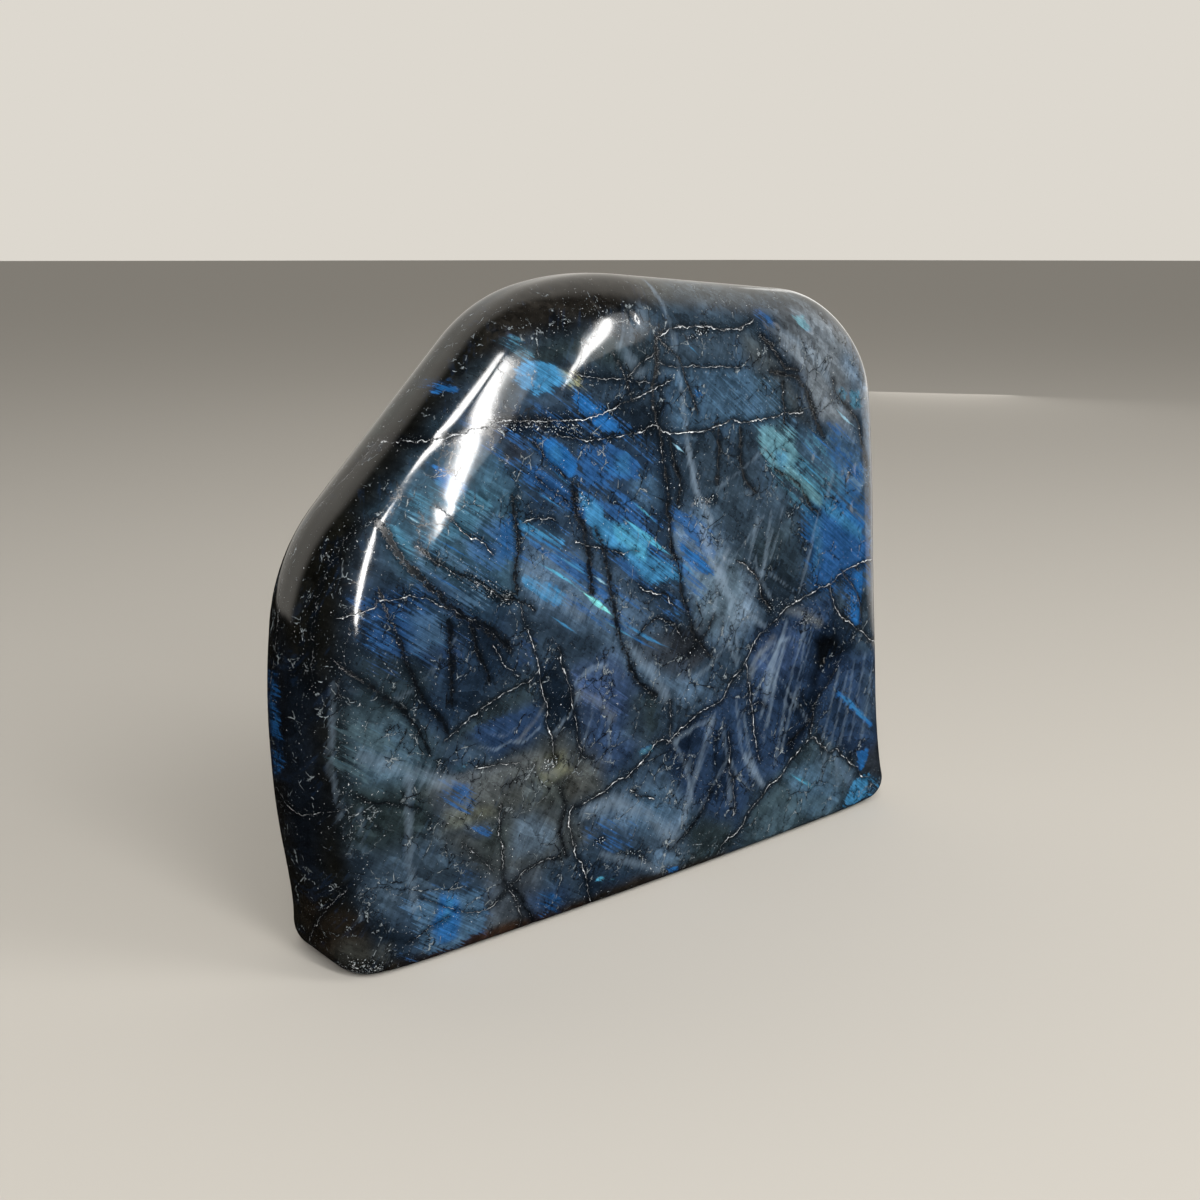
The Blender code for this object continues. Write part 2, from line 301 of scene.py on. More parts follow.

# Where the lamellae throw light back: painted sheen, a reflection laid into the colour as it shows from one
# view. Mostly blue, changing from patch to patch.
FLASHES = patches("""
ROYAL 0.2 5.0 | -46,104 -30,108 -12,104 -4,96 -8,84 -30,84 -42,92
ROYAL 0.16 4.0 | -40,90 -24,92 4,84 14,70 6,62 -12,60 -34,66 -40,76
STEEL 0.3 4.0 | -62,90 -48,92 -40,84 -42,72 -56,72 -62,80
TEAL 0.3 4.0 | 26,100 44,96 56,80 50,74 38,82 28,90
DEEP_ROYAL 0.4 5.0 | 40,80 58,84 66,74 66,60 50,58 40,64
INDIGO 0.35 4.0 | -70,78 -56,78 -48,68 -56,60 -70,62
ROYAL 0.15 4.0 | -66,18 -50,18 -44,8 -50,0 -64,2
ROYAL 0.3 3.0 | -22,20 -14,22 -6,18 -8,12 -18,14
STEEL 0.3 4.0 | 10,110 30,110 40,100 28,98 12,102
ROYAL 0.35 2.5 | -72,75 -61,77 -58,70 -62,65 -71,65
STEEL 0.5 2.0 | -63.5,72 -57,72 -56.5,66 -63,65.5
TEAL 0.6 1.2 | -64,87 -61.5,89 -60,84 -62,81
TEAL 0.4 1.5 | -60,92 -50,97 -44,92 -50,86 -58,84
COBALT 0.6 1.0 | -55,97.5 -51,98 -49.5,94 -53,92.5
ROYAL 0.3 2.0 | -50,86 -40,88 -38,80 -44,76 -50,80
DEEP_ROYAL 0.55 1.5 | -43,87.5 -40,87.5 -39.5,80 -43,80
AZURE 0.75 1.2 | -36,112 -33.5,115.5 -28,115 -25,111.5 -29,109.5 -33,109.5
STRAW 0.3 1.2 | -27.5,114 -23.5,113.5 -22,110 -26,110
TEAL 0.55 1.0 | -36,118.5 -33,119.5 -31,116 -34,115.5
COBALT 0.9 1.0 | -24.5,109.4 -19.5,107.2 -14.6,103.4 -13,100.6 -17.5,102 -21,104.7 -24,106.4
COBALT 1.0 0.8 | -34.5,101 -30.5,100.4 -26.2,98.2 -24.8,95.4 -26.5,92.5 -29.5,94.4 -33,97.5
AZURE 0.4 0.8 | -32,99 -29,99 -27.6,96 -30,95.4
ROYAL 0.6 1.5 | -36,97 -31,95 -26.5,90 -30,88.5 -38,94
ROYAL 0.8 1.2 | -24,98.5 -16,98 -9.7,95.5 -9,92 -15,91.5 -23.5,91
AZURE 0.35 1.5 | -16,96.5 -12,96.5 -12,93 -16,93
AZURE 0.72 0.9 | -25.5,89.4 -21.3,87.5 -17,84.4 -12,81.2 -7,78 -2.4,75 1.4,72 2.3,69.4 -1.3,69.6 -6.3,70.6
    -9.7,73.5 -14,77 -19.7,80 -22.8,84
CYAN 0.6 1.0 | -15.5,83.4 -11,82.6 -6,78.4 -7.5,75.5 -11,77.4 -14.5,79.8
TEAL 0.5 1.0 | -12.5,80.2 -9.5,79.5 -9.5,77.8 -12.5,78.2
ROYAL 0.45 1.5 | -18,88 -12,86 -4,80 -1.5,77 -3,75.5 -10,80 -16,84
ROYAL 0.45 1.5 | 0,86 6,82 11,78 12,73 8,72 2,78 0,81
COBALT 0.6 0.8 | 2,78 6,75 11,71.5 12,69 8,70 3,74
AZURE 0.6 1.2 | -38.7,76 -35,74.5 -28.7,70.5 -29,68 -34,69.5 -38.5,73
AZURE 0.45 1.2 | -39,87 -35,86 -28,81 -29,79 -35,82 -39,85
ROYAL 0.4 1.5 | -30,80 -22,75 -16,68 -20,68 -26,73 -31,77
INDIGO 0.7 1.5 | -40.3,64 -35.5,62 -35.5,57 -40,58
SAGE 0.3 2.5 | -76,52 -66,54 -60,46 -62,40 -72,40 -77,45
INDIGO 0.7 1.2 | -50,48 -42,49 -35,48 -34,44 -38,42 -46,42.5
VIOLET 0.6 1.5 | -26,54 -20,53 -13,49 -12,44 -18,44 -24,47
ROYAL 0.35 2.0 | -59,39 -50,38 -49.5,31 -57,31
ROYAL 0.6 1.0 | -51.5,28.6 -48,27.5 -45,24.5 -46,23.5 -50,25
STEEL 0.85 2.0 | -65,16 -57,16.5 -47,12 -46,5 -52,2 -60,3 -62,9
COBALT 0.85 1.2 | -57.5,15.5 -53.5,14 -51.5,10 -52.5,4.5 -56,4 -58,9
AZURE 0.6 1.0 | -55.5,14.5 -54,13.5 -54,9 -56,9.5
STEEL 0.6 1.5 | -10,23 -4,22 -1.3,18 -3,15 -8,17
CYAN 0.6 0.5 | -17.5,7 -15.5,6.8 -14.5,5.9 -16.5,5.8
TEAL 0.5 0.5 | -13.8,5.7 -12.2,5.5 -12.4,4.9 -13.8,5.1
COBALT 0.6 0.8 | 3,3 6,3 6,1.2 3,1.2
DEEP_ROYAL 0.45 2.0 | -35,7 -28,6.5 -27,1.5 -34,1
STEEL 0.55 1.2 | 21,106 27.5,105.5 27.5,101.7 22,102
COBALT 0.6 0.5 | 7.4,107.6 9.4,107.4 9.2,106 7.6,106
ROYAL 0.35 1.5 | 27.5,124.5 33.5,124 33.5,120.5 28.5,120
PALE_TEAL 0.4 1.2 | 40.5,121.2 43.5,121.5 44.5,119.4 42,119
PALE_TEAL 0.65 1.6 | 24.5,99 30,100.8 37,98.5 37,93 34,89 29,91 25.5,94
AZURE 0.45 1.2 | 30,95 34,94 35,90.5 32,90.5
PALE_TEAL 0.75 0.7 | 33,92.5 38,88.6 42.7,85.6 47,82.4 46.5,79.6 42,82.4 38,85.4 33.5,88.6
AZURE 0.6 0.8 | 46.5,82 51,79.6 56,76 60.5,72.4 60.4,69 55,72.6 48,77.8
COBALT 0.6 1.0 | 51,80.6 56,77.6 61.5,74.4 61,73 55,76 51,79
ROYAL 0.85 2.0 | 46.6,78.3 52,75 57,71.7 62,69 62,66 57,64.2 52.7,62.8 48,61 44.8,62 44.3,69 44,74.4
TEAL 0.35 1.5 | 43,76 46,77 46,66 43.5,65
COBALT 1.0 0.8 | 58.4,62 61.7,62.6 62.2,55 61.7,49.5 59,50.5 58.6,56
ROYAL 0.4 1.5 | 54,60 58.6,62 58.8,52 56,54
TEAL 0.6 0.8 | 51.6,105.5 54,106 55,103 53,101.5
TEAL 0.6 0.8 | 56,106 60,105.5 60.5,101.5 57,100.5 56.5,103
ROYAL 0.4 2.0 | 48,98 54,98 61,90 61,82 54,86 48,92
TEAL 0.55 0.6 | 40,17 46,13.5 50,11.4 49.6,10 44,12.6 39.5,15.8
COBALT 0.7 1.0 | 65,16.5 69,16 70,12 67.5,10.5 65.5,12.5
COBALT 1.0 0.8 0.5 | 55,34 60,30.4 65,26.4 70,22.6
AZURE 0.8 1.0 | 64,6 67,9 70,9.5 72,7 71,2 66,1.5
AZURE 0.5 1.5 | 63,2 72,2 76,0.5 78,4 72,9 63,6
ROYAL 0.7 1.5 | 70,100 74,100 77,60 74,58 71,64 70,80
ROYAL 0.5 1.5 | 75,50 77,50 80,20 78,12 76,30
TEAL 0.6 0.5 | -8,34.4 -4,35 -4,33.4 -7.5,32.8
TEAL 0.5 0.8 | -55,42 -52.5,42 -52.5,40 -54.8,40.2
COBALT 0.6 0.5 | -49.5,112.5 -46,112 -45.5,109.6 -48.8,110
RIGHT
ROYAL 0.6 2.5 | -20,62 -6,60 -2,96 -12,108 -20,100
COBALT 0.6 1.5 | -18,66 -11,66 -9,86 -16,92
TEAL 0.6 2.0 | -2,84 8,80 10,60 2,56
ROYAL 0.5 1.5 | -16,40 -8,42 -6,28 -14,26
LEFT
DEEP_ROYAL 0.5 2.0 | 0,40 10,36 8,58 0,60
BACK
ROYAL 0.35 5.0 | -56,84 -30,96 -10,80 -20,60 -50,62
COBALT 0.8 1.5 | -44,86 -34,86 -22,76 -26,70 -38,76
AZURE 0.7 1.2 | -34,72 -22,66 -12,58 -15,55 -28,62
ROYAL 0.8 2.0 | 44,66 58,70 70,60 66,46 50,50
AZURE 0.6 1.2 | 48,64 60,60 68,54 62,52 50,58
PALE_TEAL 0.6 1.6 | 6,100 22,98 36,88 30,84 12,90
TEAL 0.5 1.5 | 30,88 44,82 52,74 46,72 34,78
VIOLET 0.7 2.5 | 0,56 18,58 28,44 14,34 0,40
COBALT 0.7 1.5 | -50,20 -38,16 -34,6 -46,6
AZURE 0.6 1.0 | 30,14 42,12 48,6 36,6
""")

# Milky veils, drawn over the blue: mostly straight feathers. Two of them are painted highlights.
# The next two upright streaks are painted highlights: reflections along the rounded left edge.
VEILS = patches("""
MIST 0.42 1.6 0.4 | 2.5,130 2.5,115 4.6,96.5
MIST 0.5 1.8 0.7 | 4.6,96.5 6.7,87.3 10.8,80.7
MIST 0.55 2.25 0.96 | 8.3,79 11,72 15,67.3
MIST 0.3 1.4 0.3 | 12.5,87.3 20,90.7 27.5,94.8
MIST 0.35 1.5 0.3 | 29.2,80.7 26.7,67.3
MIST 0.25 1.5 0.3 | 33,81 29.5,70
MIST 0.3 1.5 0.4 | 25,80 22,69
MIST 0.35 1.5 0.3 | 45,79 41.7,68.2 39,61
MIST 0.28 1.6 0.3 | 50,87 47.5,82
MIST 0.4 1.65 0.48 | 14,66 17,62 19.2,57.8
MIST 0.35 1.5 0.36 | 8,62 13,60 18,58
MIST 0.4 1.35 0.3 | 24,72 26,66 30,61
MIST 0.3 1.12 0.3 | 29,67 33,64.5 37,62
MIST 0.4 1.5 0.48 | 16.7,53.5 19.6,47.8
MIST 0.45 1.6 0.45 | 35.3,55 33.8,51.6 31,42 28.3,33.7
MIST 0.4 1.8 0.72 | 32,48 30.4,44 29.6,40
MIST 0.42 1.2 0.25 | 41.3,53 40.8,50.3 36.7,37.8 34.6,20.3
MIST 0.32 1.2 0.25 | 26.7,49.5 36,39.5 45,29
MIST 0.3 1.2 0.25 | 37,53 33,44 30.5,34 30,27
MIST 0.26 1.2 0.25 | 44,51 42,42 39.5,33
MIST 0.32 1.2 0.3 | 22.5,45 27,49 33,51 38,50.5
MIST 0.4 2.4 0.6 | 12.9,37 9.2,25.3 5.8,13.7
MIST 0.42 1.5 0.3 | 20,39.5 22.5,27.8 27.5,20.3
MIST 0.45 1.95 0.6 | 24,25 27.5,20.3 31.2,16.2
MIST 0.3 1.3 0.25 | 18.5,26 13.3,18.7 10.8,15.3
MIST 0.28 1.3 0.25 | 16,35 19,24 20,14
MIST 0.34 1.8 0.6 | 1.7,33.7 7.5,36 12.5,36.2
MIST 0.3 1.3 0.25 | 58.3,39 56.3,29 54.2,19.5
MIST 0.32 1.6 0.35 | 64.6,42 61.7,20.3
MIST 0.32 1.6 0.4 | 68.3,40 66.3,20.3
MIST 0.24 1.6 0.3 | 72,41 71,26
MIST 0.28 1.4 0.3 | 53.3,21 52,11
MIST 0.24 1.4 0.4 | 57,18 59,9
LILAC 0.45 2.6 0.9 | 35.8,57.5 41,55.8 46.7,52.8
LILAC 0.4 2 0.8 | 24,44 25.5,48 31,52
MIST 0.3 1.8 0.3 | 7,47 11,49 15.3,52.2
MIST 0.35 2.2 0.7 | -17,12.5 -7,7.4 -0.3,3.9
MIST 0.36 3.4 1.6 | -22,23.5 -15.3,24 -6,19.5 4,10
LILAC 0.3 2.0 1.2 | -58,38 -50,38 -43.7,38.7 -35.3,38.5 -31,34
MIST 0.42 0.9 0.25 | -48.7,43.7 -45,42.3 -42,43.4 -38.5,42.4 -34.5,44.8
MIST 0.3 0.9 0.2 | -47,46 -43,44.6 -40,46
MIST 0.4 1.4 0.4 | -26,52.3 -22,54.6 -17.8,54.6
LILAC 0.36 2.2 1 | -25,50 -20,47.5 -16,43
MIST 0.32 1.2 0.25 | -17,43 -16.2,33
MIST 0.26 1.2 0.25 | -21,47 -23.5,39
MIST 0.34 2.8 1.1 | -12,57 -7,52 -1,44.5
MIST 0.24 1.4 0.3 | -66,56 -60,60 -54,66
MIST 0.45 0.7 0.2 | -72.8,36 -72.6,24 -72.8,13
MIST 0.36 2 0.5 | -64,41 -64,23.7 -62.8,13.7
MIST 0.24 3 1.6 | -72,46 -64,42 -56,38
MIST 0.26 1.6 0.3 | -71,20.3 -67,16.5 -63.7,13.7
MIST 0.3 2.25 0.96 | 36,119 44,114 52,104 57,94
MIST 0.22 1.6 0.3 | 18.5,85.8 25,85.5
MIST 0.25 3 1.2 | -4,124 -12,118 -8,113
MIST 0.2 3 1.4 | -38.7,77 -32,71.5 -24,66
SAGE 0.4 2.6 1.8 | 30,10 38,12 46,8 54,6
HAZE 0.35 2 1.1 | 56,18 60,13 64,9
MIST 0.4 1.0 0.35 | 34.5,52 29,44 25.5,38.5
MIST 0.42 1.0 0.4 | 35,51 32.5,41 31,31
MIST 0.36 1.0 0.3 | 34,51 28.5,47.5 24,44.5
MIST 0.34 0.9 0.3 | 42,52 41,43 38.5,33 36.5,24
MIST 0.3 0.9 0.25 | 30,44 34,38.5 38.5,33
MIST 0.36 1.0 0.4 | 22.5,36 25.5,26 30.5,17
MIST 0.34 1.0 0.3 | 19,27 22,21 27,16
MIST 0.3 0.9 0.25 | 20,25 20.5,18 22,12
MIST 0.32 1.2 0.3 | 55,40 52.5,29 50.5,22
MIST 0.34 1.4 0.35 | 60.5,41 59.5,30 58,20
MIST 0.4 1.4 0.5 | 16,74 13,69 12,61
MIST 0.36 1.2 0.3 | 13,73 20,70 27,67
MIST 0.34 1.2 0.3 | 14,69 21,75 27,80
MIST 0.3 1.1 0.3 | 22,60 27,68 30,77
MIST 0.4 1.6 0.6 | 15,66 21,60 28,55
MIST 0.32 1.2 0.35 | 16,62 19,54 20,49
MIST 0.34 1.2 0.35 | 0,37 5,28 9,17
MIST 0.28 1.2 0.3 | 6,35 7,25 6,15
LILAC 0.4 1.4 0.4 | -40,43 -36,46 -33,50
MIST 0.3 1.0 0.3 | -31,43 -27,46 -25,50
RIGHT
MIST 0.4 1.6 0.5 | -14,104 -12,84 -13,60
MIST 0.36 1.4 0.5 | -4,96 -1,70 0,44
MIST 0.3 1.4 0.5 | 8,110 6,90 9,70
LEFT
MIST 0.36 1.2 0.3 | -12,60 -11,44 -12,26
MIST 0.25 1.4 0.4 | 4,90 7,66 6,40
BACK
MIST 0.4 2.2 1.0 | -8,84 2,74 8,60 6,48
MIST 0.4 1.4 0.5 | 8,60 14,46 12,30
MIST 0.36 1.2 0.4 | 10,60 22,48 28,32
MIST 0.36 1.2 0.4 | 4,58 -4,44 -6,30
MIST 0.34 1.4 0.4 | 48,46 52,34 50,22
MIST 0.34 1.4 0.5 | 60,44 62,30 66,20
MIST 0.4 3.0 1.6 | -50,38 -34,36 -18,40
MIST 0.34 2.0 1.2 | 40,116 50,106 56,94
""")

# Healed seams and open fractures: half their width in mm, how much of them is filled pale, and their route.
SEAMS = lines("""
0.19 0.8 | 75,58 73,60.5 69,64 65.5,64.7 62,65 59,64.4 55.5,64 52.5,62.8 50,61.4 46.5,60.8 42.5,60 38,59
    35,58 32,56 29,54.4 26,53 24,50 22.3,47.8 21,46 19,45 17.5,43 16,41 13.5,39.4 9,39.2 7.5,38 5,36.7
    2.3,35.3 0.3,34
0.19 0.85 | 0.3,34 -2.7,35 -4,34 -6.6,32 -9,30.3 -11.3,29 -15,28 -18,26.8 -22,25.8 -24.7,25.6 -26.3,25
    -26.3,21.7 -25.5,19 -24,14.4 -22,11 -20.5,7 -19.7,4 -18.3,0
0.18 0.85 | 71.5,8 69,8.6 67,10.3 65.4,12.5 62.7,14 61.6,15.3 59.3,17 56.6,19 54,19 51.6,21 49.3,22.8
    48,24.4 46.3,24.2 43.8,22.5 41,21 38.8,19 36.3,16.4 33,15.3 31,13 28,11 26,8 24,6 21,5.3 19,3.3
0.22 0.35 | 46.5,24.6 46.7,30 46.8,32 48,34.4 50.4,36.7 53.8,40
0.27 0.3 | 39,25 42,26.7 44.3,28 46.3,30
0.17 0.85 | 50,60.6 51.3,57 53,54.4 56.6,51.7 60,49.4 62.7,48 66,45.6 69.5,44 72,43.5 74.5,45
0.17 0.8 | 23,47 24.2,41 25,37 26,33 27,29.4 27.8,26.7 29.3,23.3
0.15 0.7 | 18.4,31.7 19,28 19.2,23 21,21 21.4,17 22.3,14 22.3,11.7
0.36 0.1 | -40,91 -39.5,84 -39.5,80 -40.3,76 -40,73
0.17 0.8 | -38.9,70 -38.4,68 -37.6,65.6 -36.4,63 -35.6,60 -34.8,56.7 -34.2,53 -33,49 -32.6,45 -31.7,42
    -31,39
0.14 0.7 | -30,60 -28.7,55.6 -27.3,52 -26.3,47 -25.5,44 -24.7,40 -23.6,36.7 -21.3,35.3
0.14 0.8 | -56,47 -53,49 -49,51 -45.3,52.8 -41,54 -37.6,54.7 -35.6,56
0.13 0.6 | -0.2,43 0.3,38 0.6,35.5
0.17 0.75 | -63,101 -57,101.8 -52,102.2 -46,103.6 -41,104.9 -34,105 -28,104.7 -22.4,104.7 -17.4,105.6
    -13,106.7 -9,107.8 -5.8,108.6 -3,109.7 0,110.6
0.14 0.6 | -74,72 -70,73.3 -68,74.7 -64,75 -60,74.7 -57.6,73.3 -53,70.8 -50,69
0.14 0.7 | -23,113 -19.7,112.2 -14,111.7 -9,110.9 -4,110.4
0.14 0.75 | -3,114.4 1,113.6 5,113.3 9,113 14,112.8 20,112.5
0.14 0.6 | -10.8,112 -8,113.9 -3.6,116.4
0.19 0.75 | -28,101.7 -23,100.6 -17,100.3 -13,100.6 -8.6,101 -5.8,101.7 -3.6,101.7 -2,100.6 1.4,100 5.3,99.9
    10.3,99.9 14,100.8 18,101.7 21.4,100.8 27,101 34,101.6 39,101.8
0.17 0.7 | -1,119.4 3,120.8 7.6,121 13,120.8 17.6,120.3 22,120.3 27,121.7
0.11 0.7 | -61.4,15.6 -59.8,14.7 -57,12.5 -53.7,10.6 -50.3,9.2 -46.4,8.3 -43,10 -41,11.4 -38.7,13.3 -36,14.7
    -33,15.3 -28.7,15
0.15 0.4 | -63.7,6.7 -61,7.8 -58,8.6 -55.3,9.2
0.12 0.6 | -43.7,30 -43.7,25 -43,22 -42.6,19 -42.6,15 -41.2,11.7 -39.8,9.4 -38.4,6.7 -37.6,4.4 -37,0
0.09 0.55 | -51.4,24 -49.2,21 -47,19 -45.2,16.7
0.13 0.75 | -49,39.7 -46.4,39.2 -43,38.9 -39.8,38.3
0.13 0.6 | -25.2,80.8 -22,79.7 -19,79 -14.7,77.5 -9.7,77
0.34 0.25 | -2.7,118 -3.3,112.8 -4.7,108.3 -4,104 -3.3,100.6 -2.4,96 -1.3,89.5 -1.6,85.6 -1,81 -0.5,76.7
    1,73.3 1.7,70.6 2.6,66.7 3.7,63.3 5.3,59.4 6.7,56 8.7,54 11,51.7
0.3 0.15 | -0.4,98.6 0.9,94 2.2,89 1.6,86
0.22 0.2 | -2,119 2,115.8 3.7,114 4.8,110 6.4,107 7.3,104
0.21 0.3 | -13.4,116 -12.4,114 -10.2,108
0.54 0.12 | -26,91 -25.3,87 -23.8,83 -22.7,79 -22.2,75 -21.6,70.7
0.43 0.15 | -20.4,82.4 -18.8,79 -18,75.6 -17.2,72 -16.3,68 -15.5,64.4 -14.7,61 -13.6,58 -12.2,55.6 -11,52
    -9.7,50 -7.4,48 -4.7,45.6
0.58 0.1 | -65,88 -64,84 -62.6,81 -60.5,78.6 -58,76 -56,73.3 -53.7,71.4 -51,69.4 -47,67 -43.7,64.4 -41.6,62
0.14 0.6 | -45.3,63 -43.7,60.4 -42,58.3 -39.8,56.4
0.3 0.35 | -59.8,84 -57.6,81.4 -54.8,79.4 -52,77.8 -48.7,76.4 -46.4,74.7 -43.7,72.8 -41,71.6 -38,70.6
    -36,69.2
0.21 0.5 | -55,90.5 -52,87 -49.8,85 -47.6,83.3 -45.3,81.4
0.22 0.6 | -8.6,69.2 -5.2,67.8 -2.4,67 -0.2,64.7
0.22 0.6 | -9.7,25 -7.4,23.3 -5.8,22.8 -3.8,21.8
0.36 0.1 | -67.6,76 -66,70 -64.8,66 -63.7,62 -62,58.3 -60,54 -57.6,51.7 -56,48.3
0.29 0.15 | -75,64 -73,61.7 -71,59.7 -68.7,57.5 -65.3,54.4 -63,51 -61.4,48.3 -60,45
0.43 0.05 | -55.2,69 -55,62 -55,54
0.29 0.1 | -50.3,68 -48.7,62 -46.4,57
0.3 0.15 | 31,89.7 34.3,88.3 37,86.7 40,83.6 42.7,80 45,78.6
0.29 0.1 | 30,111 36,110 39.3,108.3 41,106 43.2,102 44.3,99 46.6,96
0.2 0.2 | 50,108 51.6,104.4 55,101.7 58.8,98.3 60.4,93 62,88
0.26 0.4 | 19.2,71 22,69.4 24.8,67 26,65 26.7,62 28,60.6 29.3,59.2
0.35 0.15 | -39.8,11 -34.8,3.3 -33,0
0.35 0.15 | 29,118 31,116 34,112 38,111
0.18 0.2 | 33.5,108 33.6,104 33.4,100
0.3 0.1 | 20,99 20,94 21,89 24,86
0.26 0.1 | 13.4,99 13.4,93 12.6,89
0.22 0.2 | -73,38 -70,36.6 -66,36 -62,34
0.26 0.2 | -29,30 -27.6,26.6 -28.6,22 -28,18 -26.6,15
0.22 0.2 | 54,64 58,60 61,56 62,50
0.22 0.3 | -9,60 -5,62 -1,61 2,58
0.2 0.2 | 14,20 12,15 8,11 3,8
0.2 0.2 | 5,53 9,56 12,60
0.2 0.3 | -34,94 -30,91 -27,88.6
0.13 0.8 | -38,86 -34,86.6 -31,86
0.22 0.2 | -34,100.5 -31,97 -28,94
0.13 0.5 | 30,36 26.4,37.4 23,36.5
RIGHT
0.19 0.8 | -16,57 -8,60 0,64 8,63 16,66
0.16 0.75 | -14,44 -6,41 2,38 12,40
0.3 0.2 | -4,112 -2,96 2,82 0,68
0.16 0.7 | -10,22 0,26 10,24
LEFT
0.1 0.5 | -13,70 -12.5,58 -13.4,44 -12,30
0.1 0.5 | -9,88 -8,74 -8.6,60
0.12 0.6 | -14,24 -9,17 -2,9 4,2
0.12 0.6 | 0,100 4,84 2,66 6,48 4,30
0.14 0.6 | 6,74 12,66 16,60
0.14 0.6 | -12,36 -4,34 6,38
BACK
0.19 0.8 | 76,66 66,62 54,64 44,58 36,52 26,50 18,42 6,40 -4,34 -18,32 -30,24 -34,12 -32,0
0.18 0.8 | 72,40 62,34 56,24 46,20 38,12 26,8 18,0
0.17 0.75 | -64,90 -50,96 -34,94 -18,98 -2,96 14,102 34,100 52,104
0.16 0.7 | -40,112 -24,108 -6,112 12,110
0.4 0.12 | -30,100 -26,86 -28,72 -22,58 -20,44
0.38 0.15 | -4,110 -2,94 4,80 2,66 10,52
0.4 0.1 | -62,82 -54,70 -50,56 -42,46
0.17 0.8 | 34,100 38,84 46,72 48,62
0.16 0.7 | -18,32 -14,20 -16,8 -10,0
0.16 0.75 | 36,52 40,38 46,28
0.15 0.7 | -58,36 -46,32 -38,26
0.3 0.2 | 10,102 14,92 12,84
0.28 0.2 | 56,98 60,86 66,78
0.15 0.6 | -60,14 -50,18 -40,12 -33,8
""")

# Thin bright lamellae, painted glints of their blue sheen: half their width, their tint and their route.
GLINTS = lines("""
0.85 0.72 | -13.8,84.4 -10.8,82.3 -7.4,79.7 -3.6,76.9 -0.2,74.6
0.4 0.45 | -0.2,74.6 3,72.3 7.6,68.6
0.3 0.75 | -12,88 -8,85 -4,81.7
0.35 0.3 | 1.4,77.5 6,74.2 11,70.6
0.3 0.25 | 3,73.2 8.7,69.4
0.3 0.2 | 0,84 5,80.2 10,76.6
0.45 0.7 | -35.3,78.3 -28,73.7 -24.7,71
0.75 1.0 | -24.7,71.2 -21.3,68.5 -18,66 -16,64.2
0.5 0.45 | -15,63.6 -9.7,60.2 -5.8,57.8 0,54.8
0.35 0.8 | -22,74 -17,70.6
0.35 0.4 | -28,77.8 -22.7,74.4
0.35 0.55 | -38.7,87 -33,83 -28.7,80
0.3 0.45 | -36,92.5 -30,88.6 -27,86.4
0.35 0.5 | -32.5,67.4 -28.6,64.6 -25,62
0.3 0.35 | -0.2,63.3 2.6,61.4
0.28 0.8 | -52.5,91 -50,88.8
0.4 0.8 | -0.2,98.3 3.7,95.6
0.28 0.5 | 48,79.4 54,75.3 60.4,70.8
0.28 0.45 | 50,81 55,77.6 61,73.8
0.26 0.7 | 36,90 41,86.4 46,82.8
0.4 0.8 | 50.4,102.2 53.8,99.4 58.2,96.7
0.85 0.42 | 55,34 58,32 62,29 65,26.6
0.8 0.42 | 59.5,30.6 65,26.4 70,22.6
0.35 0.7 | 40,17 44,14.4 49.3,11
0.3 0.5 | 49,80.4 46,83 44,85
0.26 0.35 | -20,96 -14,92
0.26 0.5 | 5,118.5 9,115
0.28 0.8 | -61,89.5 -58.5,87.6
0.3 0.3 | 40,99 46,94.6 53,90
0.3 0.35 | 38,96 43,92.4 48,89
0.25 0.2 | -23.6,52 -22,51.2
0.35 0.5 | -33,80.6 -26,76 -20,72
0.3 0.4 | -31,76.6 -26,73.2 -22,70.4
0.3 0.6 | -19.5,64.6 -14,61 -9,58
0.3 0.3 | -14,61.2 -8,57.4 -3,54.6
0.35 0.35 | -37,84 -31,80.4 -27,77.6
0.3 0.2 | 2,80.6 7,77 11.5,73.6
0.35 0.3 | 4,75 9,71.4 12.6,69
0.3 0.25 | 6,72 10,69.2
0.3 0.3 | -10,79.4 -4,75.2 1,71.8
0.35 0.55 | -18.6,84 -13,80.4 -8,77
0.3 0.3 | -33,99.6 -30,97 -27,94.6
0.3 0.45 | -31,95.6 -28,93.2 -26,91.6
0.3 0.3 | -20,97 -15,93.6 -11,91
0.3 0.5 | 38,92 42,89 47,85.6
0.3 0.35 | 52,82.4 56,79.8 61,76.4
0.25 0.2 | -60,80 -55,76.6 -51,74
0.25 0.3 | -58,86 -53,82.6 -49,80
BACK
0.5 0.7 | -36,80 -28,74 -20,68
0.4 0.5 | -30,82 -22,76 -14,70
0.4 0.9 | -22,64 -14,58 -8,54
0.35 0.6 | 14,94 24,88 34,82
0.4 0.4 | 50,60 58,55 66,50
0.35 0.7 | -46,16 -38,10
RIGHT
0.3 0.7 | -16,88 -10,82
""")

